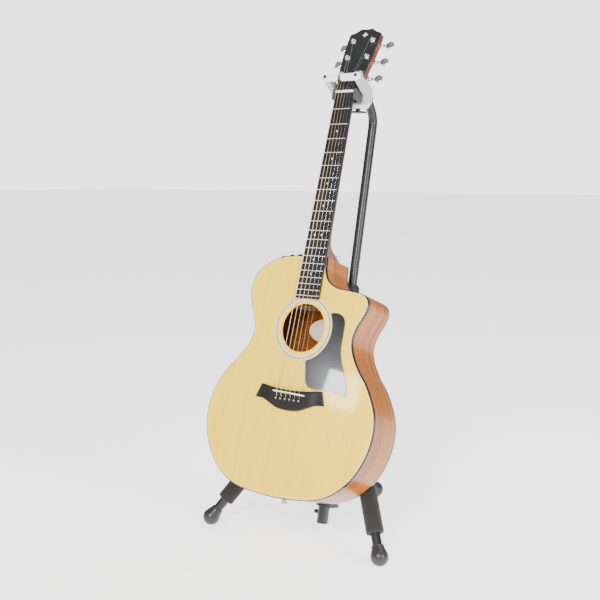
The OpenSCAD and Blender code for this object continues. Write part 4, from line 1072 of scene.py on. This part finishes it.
JACK_Y = 50
jack_place = GUITAR @ shift(0, JACK_Y, TAIL_Z)
piece("tail_jack", ring_lathe([(3.2, -11), (6.8, -11), (8, -10.4), (8, -9.4), (6.4, -8.4), (5.6, -6),
                               (6, -2.2), (9, -1.8), (9, 0), (5, 0), (5, 40), (3.2, 40)]),
      jack_place, "guitar", "tuner_chrome", chrome, "strap_buttons")
piece("heel_button", lathe([(0, -3), (4, -3), (4, 3), (3.4, 5), (6, 6.2), (6.5, 7.2), (6.1, 8.4),
                            (2, 8.8), (0, 8.6)], 32),
      GUITAR @ shift(20, NECK_D + 32, HEEL_Z + 8) @ turn(90, "Y"), "guitar", "tuner_chrome", chrome)
KNOBS = [(-48, 508.2, 4), (-68, 506, 9), (-88, 501.8, 15)]
for number, (x, z, tilt) in enumerate(KNOBS, 1):
    place = GUITAR @ shift(x, 14, z) @ turn(-tilt, "Y")
    grip = []
    for height, r in ((0.8, 5.4), (1.2, 5.5), (4.8, 5.0), (5.5, 4.7), (5.8, 4.0)):
        grip.append([(r * (1 - 0.05 * (k % 2)) * math.cos(math.pi * k / 24),
                      r * (1 - 0.05 * (k % 2)) * math.sin(math.pi * k / 24), height) for k in range(48)])
    shaft = lathe([(0, -14), (2.9, -14), (2.9, 2), (0, 2)], 24)
    piece("control_knob_%d" % number, joined(skin(grip), shaft), place, "knob_%d" % number, "preamp_plastic",
          preamp_plastic, "knob_%d" % number, crease=30)

# ---- Stand: column, clamp and feet ----

REAR_PIN = (34, 50)
BRACKET_R = COLUMN_D / 2 + 4
EAR_GAP = LEG_D / 2 + GAP
HUB_R = COLUMN_D / 2 + 6
CLAMP_R = COLUMN_D / 2 + 4.5
CLAMP_Z = COLUMN_TOP - 28
FOOT_Z = FOOT_R - 0.4
AROUND_X = turn(90, "Y")


def on_mast(y, z):
    """A place beside the column, in the world frame, millimetres."""
    return MAST @ Vector((0, y, z))


piece("column_pipe", ring_lathe([(10.05, COLUMN_START), (COLUMN_D / 2 - 0.5, COLUMN_START),
                                 (COLUMN_D / 2, COLUMN_START + 0.5), (COLUMN_D / 2, COLUMN_TOP - 0.5),
                                 (COLUMN_D / 2 - 0.5, COLUMN_TOP), (10.05, COLUMN_TOP)], 64),
      MAST, "stand", "column_paint", column_paint, "column_tube")
piece("column_end_cap", lathe([(0, 7), (10.5, 7), (12.2, 7.8), (12.5, 9), (12.5, 10), (10, 10.1),
                               (10, 26), (0, 26)]),
      MAST, "stand", "black_plastic", black_plastic, "column_plug")

ears = [side_plate(rounded([(0, 41.2, 1), (REAR_PIN[0], 41.2, 7), (REAR_PIN[0] + 8.8, 41.2, 8),
                            (REAR_PIN[0] + 8.8, 58.8, 8), (REAR_PIN[0], 58.8, 6), (0, 58.8, 1)]), x, x + 4)
        for x in (-EAR_GAP - 4, EAR_GAP)]
collar = ring_lathe([(COLUMN_D / 2, 44), (BRACKET_R - 1, 44), (BRACKET_R, 45), (BRACKET_R, 64),
                     (BRACKET_R - 1, 67), (BRACKET_R - 2, 68), (COLUMN_D / 2, 68)], 64)
lug = side_plate(rounded([(-6, 44, 2), (6, 44, 2), (6, 67, 3), (-6, 67, 3)]),
                 -BRACKET_R - 1.5, -BRACKET_R + 3)
piece("rear_bracket", joined(collar, lug, *ears), MAST, "stand", "black_plastic", black_plastic,
      "base_bracket", bevel=0.7)
piece("bracket_screw", joined(moved(lathe([(0, -1), (4.2, -1), (4.5, 0), (4.5, 4), (4.1, 4.8), (0, 5)], 32),
                                    shift(-BRACKET_R - 0.4, 0, 30) @ turn(-90, "Y")),
                              moved(lathe([(0, 0), (4.2, 0), (4.2, 4.4), (0, 5)], 24),
                                    shift(-COLUMN_D / 2, 0, 30) @ turn(-90, "Y"))),
      MAST, "stand", "black_plastic", black_plastic, "base_screw")


def leg_frame(side):
    """A front leg's frame: z down the leg from its hinge, x along its pin; with its length."""
    into = MAST.inverted()
    foot = into @ Vector((side * FRONT_REACH * math.sin(radians(LEG_TURN)),
                          COLUMN_Y - FRONT_REACH * math.cos(radians(LEG_TURN)), FOOT_Z))
    azimuth = math.degrees(math.atan2(abs(foot.x), -foot.y))
    spread = math.hypot(foot.x, foot.y) - HINGE_R
    out = math.degrees(math.atan2(spread, HUB_H - foot.z))
    frame_at = (MAST @ shift(side * HINGE_R * math.sin(radians(azimuth)),
                             -HINGE_R * math.cos(radians(azimuth)), HUB_H)
                @ turn(side * azimuth, "Z") @ turn(180 - out, "X"))
    return frame_at, azimuth, math.hypot(spread, HUB_H - foot.z)


cheeks = []
for side in (-1, 1):
    leg_at, azimuth, leg_len = leg_frame(side)
    for x in (-10.4, 6.4):
        cheek = side_plate(rounded([(0, HUB_H - 11, 1), (-HINGE_R, HUB_H - 11, 8),
                                    (-HINGE_R - 10.6, HUB_H - 10, 8),
                                    (-HINGE_R - 10.6, HUB_H + 10, 8), (-HINGE_R, HUB_H + 11, 8),
                                    (0, HUB_H + 11, 1)]), x, x + 4)
        cheeks.append(moved(cheek, turn(side * azimuth, "Z")))
hub = ring_lathe([(COLUMN_D / 2, HUB_H - 17), (HUB_R - 1.2, HUB_H - 17), (HUB_R, HUB_H - 15.8),
                  (HUB_R, HUB_H + 15.8), (HUB_R - 1.2, HUB_H + 17), (COLUMN_D / 2, HUB_H + 17)], 64)
piece("leg_hub_body", joined(hub, *cheeks), MAST, "stand", "black_plastic", black_plastic, "leg_hub",
      bevel=0.6)
rivet = lathe([(0, -12.6), (3.6, -12.6), (4.4, -11.8), (4.4, -10.5), (3, -10.4), (3, 10.4), (4.4, 10.5),
               (4.4, 11.8), (3.6, 12.6), (0, 12.6)], 24)
rear_rivet = lathe([(0, -16.8), (3.6, -16.8), (4.6, -16), (4.6, -14.5), (3, -14.4), (3, 14.4), (4.6, 14.5),
                    (4.6, 16), (3.6, 16.8), (0, 16.8)], 24)
pins = [moved(rivet, leg_frame(side)[0] @ AROUND_X) for side in (-1, 1)]
pins.append(moved(rear_rivet, MAST @ shift(0, *REAR_PIN) @ AROUND_X))
piece("hinge_rivets", joined(*pins), WORLD, "stand", "bare_steel", bare_steel, "hinge_pins")

clamp_body = ring_lathe([(10.05, COLUMN_TOP + 0.5), (COLUMN_D / 2, COLUMN_TOP), (COLUMN_D / 2, CLAMP_Z),
                         (CLAMP_R - 1, CLAMP_Z), (CLAMP_R, CLAMP_Z + 1), (CLAMP_R, CLAMP_Z + 26.5),
                         (CLAMP_R - 0.6, CLAMP_Z + 27.6), (12.6, CLAMP_Z + 33.4), (11.8, CLAMP_Z + 34),
                         (10.05, CLAMP_Z + 34)], 64)
boss = moved(ring_lathe([(4.05, 12), (9.5, 12), (9.5, CLAMP_R + 6), (8.6, CLAMP_R + 7),
                         (4.05, CLAMP_R + 7)], 48),
             shift(0, 0, CLAMP_Z + 13) @ turn(-90, "X"))
piece("height_collar", joined(clamp_body, boss), MAST, "stand", "black_plastic", black_plastic,
      "height_clamp")
wing = skin([[(p.x * s, p.y * s, z) for p in rounded([(-17, -4, 4), (17, -4, 4), (17, 4, 4), (-17, 4, 4)], 8)]
             for z, s in ((24.5, 0.9), (25.2, 0.97), (27, 1), (31, 1), (32.6, 0.96), (33.2, 0.88))])
knob_core = lathe([(0, 13), (4, 13), (4, CLAMP_R + 7.4), (7, CLAMP_R + 7.4), (7.4, CLAMP_R + 8), (7.2, 32.6),
                   (6, 33.4), (0, 33.6)], 32)
piece("wing_knob", joined(wing, knob_core), MAST @ shift(0, 0, CLAMP_Z + 13) @ turn(-90, "X"), "clamp_knob",
      "black_plastic", black_plastic, "clamp_knob", bevel=0.3, segments=2)

# ---- Stand: legs, sleeves and feet ----


def foot_shape():
    """A round rubber foot; z runs down the leg and the round end's centre is at nought."""
    profile = [(0, -9), (LEG_D / 2, -9), (LEG_D / 2, -23), (12.2, -23), (13.0, -22.2), (13.0, -20.6),
               (12.6, -20), (13.2, -18), (14.6, -13), (FOOT_R * 0.94, -FOOT_R * 0.34)]
    for k in range(1, 16):
        a = radians(-20 + 110 * k / 15)
        profile.append((FOOT_R * math.cos(a) if k < 15 else 0, FOOT_R * math.sin(a)))
    return lathe(profile, 56)


def flat_bottom(shape, place):
    """The foot with its underside worn flat where it meets the floor."""
    points = [place @ Vector(p) for p in shape[0]]
    return [Vector((p.x, p.y, max(p.z, 0))) for p in points], shape[1]


SLEEVE = [(LEG_D / 2, 0), (FOAM_D / 2 - 2.6, 0), (FOAM_D / 2 - 0.8, 0.9), (FOAM_D / 2, 3)]
for side, word in ((-1, "left"), (1, "right")):
    leg_at, azimuth, leg_len = leg_frame(side)
    body = word + "_leg"
    tube_end = leg_len - FOOT_R / 2
    shank = lathe([(0, 15), (8.4, 15), (LEG_D / 2, 19), (LEG_D / 2, tube_end), (0, tube_end)], 48)
    eye = side_plate(rounded([(-9, 0, 0), (-9, 18, 1), (9, 18, 1), (9, 0, 0)] +
                             [(9 * math.cos(radians(a)), 9 * math.sin(radians(a)), 0)
                              for a in range(-15, -180, -15)]),
                     -6, 6)
    piece("front_leg_" + word, joined(shank, eye), leg_at, body, "leg_paint", leg_paint, "leg_" + word,
          bevel=0.4)
    sleeve_at = leg_at @ shift(0, 0, leg_len - FOAM_END - FOAM_LEN)
    mirrored_end = [(r, FOAM_LEN - z) for r, z in reversed(SLEEVE)]
    middle = [(FOAM_D / 2 + 0.12 * math.sin(k * 2.4), 3 + (FOAM_LEN - 6) * k / 30) for k in range(1, 30)]
    sleeve = piece("foam_sleeve_" + word, ring_lathe(SLEEVE + middle + mirrored_end, 64), sleeve_at, body,
                   "foam_rubber", foam_finish, "foam_" + word, crease=50)
    piece("rubber_foot_" + word, flat_bottom(foot_shape(), leg_at @ shift(0, 0, leg_len)), WORLD, body,
          "foot_rubber", foot_rubber, "foot_" + word, crease=50)

REAR_BEND = 30
REAR_BEND_R = 50
rear_hinge = on_mast(*REAR_PIN)
rear_foot_y = COLUMN_Y + REAR_REACH
rear_drop = REAR_BEND_R * (1 - math.cos(radians(REAR_BEND)))
rear_slope = (rear_hinge.z - rear_drop - FOOT_Z) / math.sin(radians(REAR_BEND))
rear_flat_end = (rear_foot_y - rear_slope * math.cos(radians(REAR_BEND))
                 - REAR_BEND_R * math.sin(radians(REAR_BEND)))
rear_path = [(0, rear_hinge.y + 6, rear_hinge.z), (0, (rear_hinge.y + rear_flat_end) / 2, rear_hinge.z)]
for k in range(13):
    a = radians(REAR_BEND * k / 12)
    rear_path.append((0, rear_flat_end + REAR_BEND_R * math.sin(a),
                      rear_hinge.z - REAR_BEND_R * (1 - math.cos(a))))
slope_end = Vector((0, rear_foot_y, FOOT_Z)) + (FOOT_R / 2) * Vector((0, -math.cos(radians(REAR_BEND)),
                                                                      math.sin(radians(REAR_BEND))))
rear_path.append(tuple(slope_end))
rod("rear_leg_bar", rear_path, LEG_D / 2, WORLD, "rear_leg", "leg_paint", leg_paint, "leg_rear", sides=48)
piece("rear_leg_eye", lathe([(0, -LEG_D / 2), (9.4, -LEG_D / 2), (10, -9.2), (10, 9.2), (9.4, LEG_D / 2),
                             (0, LEG_D / 2)]),
      shift(*rear_hinge) @ AROUND_X, "rear_leg", "leg_paint", leg_paint)
rear_foot_at = shift(0, rear_foot_y, FOOT_Z) @ turn(-90 - REAR_BEND, "X")
piece("rubber_foot_rear", flat_bottom(foot_shape(), rear_foot_at), WORLD, "rear_leg", "foot_rubber",
      foot_rubber,
      "foot_rear", crease=50)

# ---- Stand: mast and yoke ----

MAST_BEND = 50
MAST_BEND_R = 45
MAST_ENTRY = 28
lean_gap = radians(GUITAR_LEAN - MAST_LEAN)
bend_z = (NUT_Z - 24 - (COLUMN_Y - GUITAR_Y) * math.sin(radians(GUITAR_LEAN))
          + HANG_H * math.cos(radians(GUITAR_LEAN))) / math.cos(lean_gap)
bend = radians(MAST_BEND)
bend_end = Vector((0, -MAST_BEND_R * (1 - math.cos(bend)), bend_z + MAST_BEND_R * math.sin(bend)))
mast_path = [(0, 0, COLUMN_TOP - 215), (0, 0, bend_z - 60), (0, 0, bend_z)]
mast_path += [(0, -MAST_BEND_R * (1 - math.cos(bend * k / 16)),
               bend_z + MAST_BEND_R * math.sin(bend * k / 16))
              for k in range(1, 17)]
mast_path.append(tuple(bend_end + (MAST_ENTRY + 22) * Vector((0, -math.sin(bend), math.cos(bend)))))
rod("bent_mast", mast_path, MAST_D / 2, MAST, "mast", "mast_paint", mast_paint, "upper_mast", sides=56)

entry = MAST @ (bend_end + MAST_ENTRY * Vector((0, -math.sin(bend), math.cos(bend))))
HOUSING = shift(0, entry.y - 38, entry.z + 2)
HOUSING_W = 38
housing_side = rounded([(-20, -25, 4), (9, -25, 8), (37, 0, 8), (39, 18, 12), (20, 31, 10), (-8, 31, 8),
                        (-20, 20, 4)], 8)
piece("yoke_shell", side_plate(housing_side, -HOUSING_W / 2, HOUSING_W / 2), HOUSING, "mast", "yoke_plastic",
      yoke_white, "yoke_housing", bevel=2.6, segments=5, crease=50)
piece("housing_seam", side_plate(rounded([(-21, 5, 0.3), (-21, 7, 0.3), (39, 7, 0.3), (39, 5, 0.3)]),
                                 -0.3, 0.3),
      HOUSING, "mast", "yoke_plastic", yoke_grey)
screw = lathe([(0, 0), (4, 0), (4, 1.6), (3.4, 2.3), (1.4, 2.4), (1.2, 1.2), (0, 1.2)], 32)
copies("housing_screws", screw, [(HOUSING @ shift(HOUSING_W / 2 - 0.2, 22, -2) @ turn(90, "Y"), (1, 1, 1))],
       "mast", "bare_steel", bare_steel, "housing_screw")
piece("yoke_lower_plate", joined(block((-12, -22, -34), (12, 14, -30)),
                                 moved(lathe([(0, -30), (5, -30), (5, -24), (0, -24)], 32), shift(0, -4, 0))),
      HOUSING, "mast", "black_plastic", black_plastic, "yoke_under_plate", bevel=0.8)

# The fork: a cross plate behind the neck and two arms that rise to the gates
CRADLE_HALF = NUT_W / 2 + 1.6
CRADLE_OUT = CRADLE_HALF + 5.5
CRADLE_BACK = NECK_D + 9
GATE_PLANE = GATE_Y + GATE_T / 2 + GAP


def guitar_y_of(y, z):
    """The guitar frame's y of a place given in the housing's level frame."""
    return (GUITAR.inverted() @ (HOUSING @ Vector((0, y, z)))).y


def level_at(guitar_y, z):
    """The level y at which a height z meets a plane of the guitar frame."""
    a, b = guitar_y_of(0, z), guitar_y_of(1, z)
    return (guitar_y - a) / (b - a)


pin_level = HOUSING.inverted() @ (GUITAR @ Vector((GATE_SPAN / 2, GATE_Y + 8, GATE_Z)))
arm_way = Vector((pin_level.y + 27, pin_level.z - 2)).normalized()
arm_up = Vector((arm_way.y, -arm_way.x))


def arm_end(edge):
    """Where an arm's edge meets the back of its gate."""
    start = Vector((pin_level.y, pin_level.z)) + edge * arm_up
    now, further = guitar_y_of(*start), guitar_y_of(*(start + arm_way))
    return start + arm_way * (GATE_PLANE - now) / (further - now)


low_edge, high_edge = (-8, 8) if arm_up.y > 0 else (8, -8)
under, over = arm_end(low_edge), arm_end(high_edge)
arm_side = rounded([(-33.5, -17.5, 3), (-19.5, -17.5, 3), (-19.5, 14, 4), (over.x, over.y, 1.5),
                    (under.x, under.y, 1.5), (-33.5, -4, 5)], 8)
arms = [side_plate(arm_side, s * GATE_SPAN / 2 - ARM_W / 2, s * GATE_SPAN / 2 + ARM_W / 2) for s in (-1, 1)]
recess = [(z, max(-33, level_at(CRADLE_BACK + GAP, z))) for z in (-18, 0, 6, 12, 18)]
plate_side = [(y, z) for z, y in recess] + [(-20, 18), (-20, -18)]
cross = side_plate(plate_side, -GATE_SPAN / 2, GATE_SPAN / 2)
piece("fork_body", joined(*arms, cross), HOUSING, "mast", "yoke_plastic", yoke_grey, "yoke_fork", bevel=1.8,
      segments=4, crease=40)
bosses = [moved(lathe([(0, 0), (8.5, 0), (8.5, 11), (7, 13.4), (0, 14)], 40),
                shift(s * GATE_SPAN / 2, GATE_PLANE, GATE_Z) @ FACING) for s in (-1, 1)]
piece("gate_bosses", joined(*bosses), GUITAR, "mast", "yoke_plastic", yoke_grey)
caps = [moved(lathe([(0, -6.5), (2.6, -6.5), (3.6, -5.9), (3.6, -4.9), (2.5, -4.8), (2.5, 12), (0, 12)], 32),
              shift(s * GATE_SPAN / 2, GATE_Y, GATE_Z) @ FACING) for s in (-1, 1)]
piece("gate_pin_caps", joined(*caps), GUITAR, "mast", "black_plastic", black_plastic, "gate_pins")

for side, word, tip in ((-1, "left", -9), (1, "right", 0)):
    root = side * GATE_SPAN / 2
    reach = [tip, root] if tip < root else [root, tip]
    low, high = GATE_Z - GATE_H / 2 - 1.5, GATE_Z + GATE_H / 2 - 1.5
    half_t = GATE_T / 2
    if side > 0:
        corners = [(tip, low, 3), (root + 2, low, 4), (root + 8.4, GATE_Z - 4, 5),
                   (root + 8.4, GATE_Z + 4, 5),
                   (root + 2, GATE_Z + 8.4, 5), (root - 8, high, 4), (tip, high, 3)]
    else:
        corners = [(tip, low, 3), (tip, high, 3), (root + 8, high, 4), (root - 2, GATE_Z + 8.4, 5),
                   (root - 8.4, GATE_Z + 4, 5), (root - 8.4, GATE_Z - 4, 5), (root - 2, low, 4)]
    piece("gate_bar_" + word, slab(rounded(corners, 6), GATE_Y - half_t, GATE_Y + half_t), GUITAR,
          "gate_" + word, "yoke_plastic", yoke_white, "gate_" + word, bevel=1.2, segments=4, crease=50)
    start, stop = (tip + 4, root - 11) if side > 0 else (root + 11, tip - 4)
    count = int(abs(stop - start) / 4) + 1
    copies("gate_ribs_" + word, block((-0.7, -0.5, -5.2), (0.7, 0.5, 5.2)),
           [(GUITAR @ shift(start + (stop - start) * k / (count - 1), GATE_Y - half_t - 0.2,
                            (low + high) / 2),
             (1, 1, 1)) for k in range(count)],
           "gate_" + word, "yoke_plastic", yoke_white)

pad = [(-CRADLE_OUT, -8), (-CRADLE_HALF, -8), (-CRADLE_HALF, NECK_D + 1)]
pad += [(-CRADLE_HALF + 3, NECK_D + 3), (CRADLE_HALF - 3, NECK_D + 3), (CRADLE_HALF, NECK_D + 1)]
pad += [(CRADLE_HALF, -8), (CRADLE_OUT, -8), (CRADLE_OUT, CRADLE_BACK), (-CRADLE_OUT, CRADLE_BACK)]
u_shape = skin([[(x, y, z) for x, y in pad] for z in (NUT_Z - 14, NUT_Z + 8)])
stem = block((-6, CRADLE_BACK - 1, NUT_Z - 8), (6, 48, NUT_Z + 4))
# The padded cradle takes the near-black rubber, which is painted shade for the shadow inside the fork.
piece("padded_cradle", joined(u_shape, stem), GUITAR, "cradle", "cradle_rubber", cradle_rubber, "cradle",
      bevel=1.0, segments=3)

# ---- Studio ----

CAMERA_AT = Vector((1.0973, -1.7916, 0.7670))
CAMERA_LOOK = Vector((-0.5444, 0.8288, -0.1295))
CAMERA_LENS = 59.37

floor_mesh = bpy.data.meshes.new("floor")
floor_mesh.from_pydata([(-30, -30, 0), (30, -30, 0), (30, 30, 0), (-30, 30, 0)], [], [[0, 1, 2, 3]])
floor_finish, floor_tree, floor_shader = new_finish(
    "Pale floor", Base_Color=(0.95, 0.95, 0.95, 1), Roughness=0.9,
    Emission_Color=(1, 1, 1, 1), Emission_Strength=1.9)
floor_mesh.materials.append(floor_finish)
floor = bpy.data.objects.new("floor", floor_mesh)
bpy.context.scene.collection.objects.link(floor)
floor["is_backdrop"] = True

sky = bpy.data.worlds.new("Studio")
bpy.context.scene.world = sky
sky.use_nodes = True
sky.node_tree.nodes["Background"].inputs["Color"].default_value = (1, 1, 1, 1)
seen = add_node(sky.node_tree, "ShaderNodeLightPath")
strength = add_node(sky.node_tree, "ShaderNodeMapRange", {
    "Value": seen.outputs["Is Camera Ray"], "To Min": 0.4, "To Max": 2.9})
sky.node_tree.links.new(strength.outputs["Result"], sky.node_tree.nodes["Background"].inputs["Strength"])

aim = Vector((0, 0, 0.5))
for name, spot, size, power in (("key_light", (0.9, -2.9, 2.0), 1.2, 150),
                                ("glint_light", (-1.13, -2.13, 1.19), 0.16, 5),
                                ("side_light", (2.6, -0.6, 1.2), 1.0, 55),
                                ("top_light", (0.4, 1.0, 3.0), 1.6, 30)):
    lamp = bpy.data.lights.new(name, "AREA")
    lamp.size = size
    lamp.energy = power
    holder = bpy.data.objects.new(name, lamp)
    holder.location = spot
    holder.rotation_euler = (aim - Vector(spot)).to_track_quat("-Z", "Y").to_euler()
    bpy.context.scene.collection.objects.link(holder)

camera_data = bpy.data.cameras.new("camera")
camera_data.lens = CAMERA_LENS
camera_data.sensor_width = 36
camera = bpy.data.objects.new("camera", camera_data)
camera.location = CAMERA_AT
camera.rotation_euler = CAMERA_LOOK.to_track_quat("-Z", "Y").to_euler()
bpy.context.scene.collection.objects.link(camera)
bpy.context.scene.camera = camera

low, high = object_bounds()
{"cad_box": [list(cad_low), list(cad_high)], "visual_box": [list(low), list(high)]}
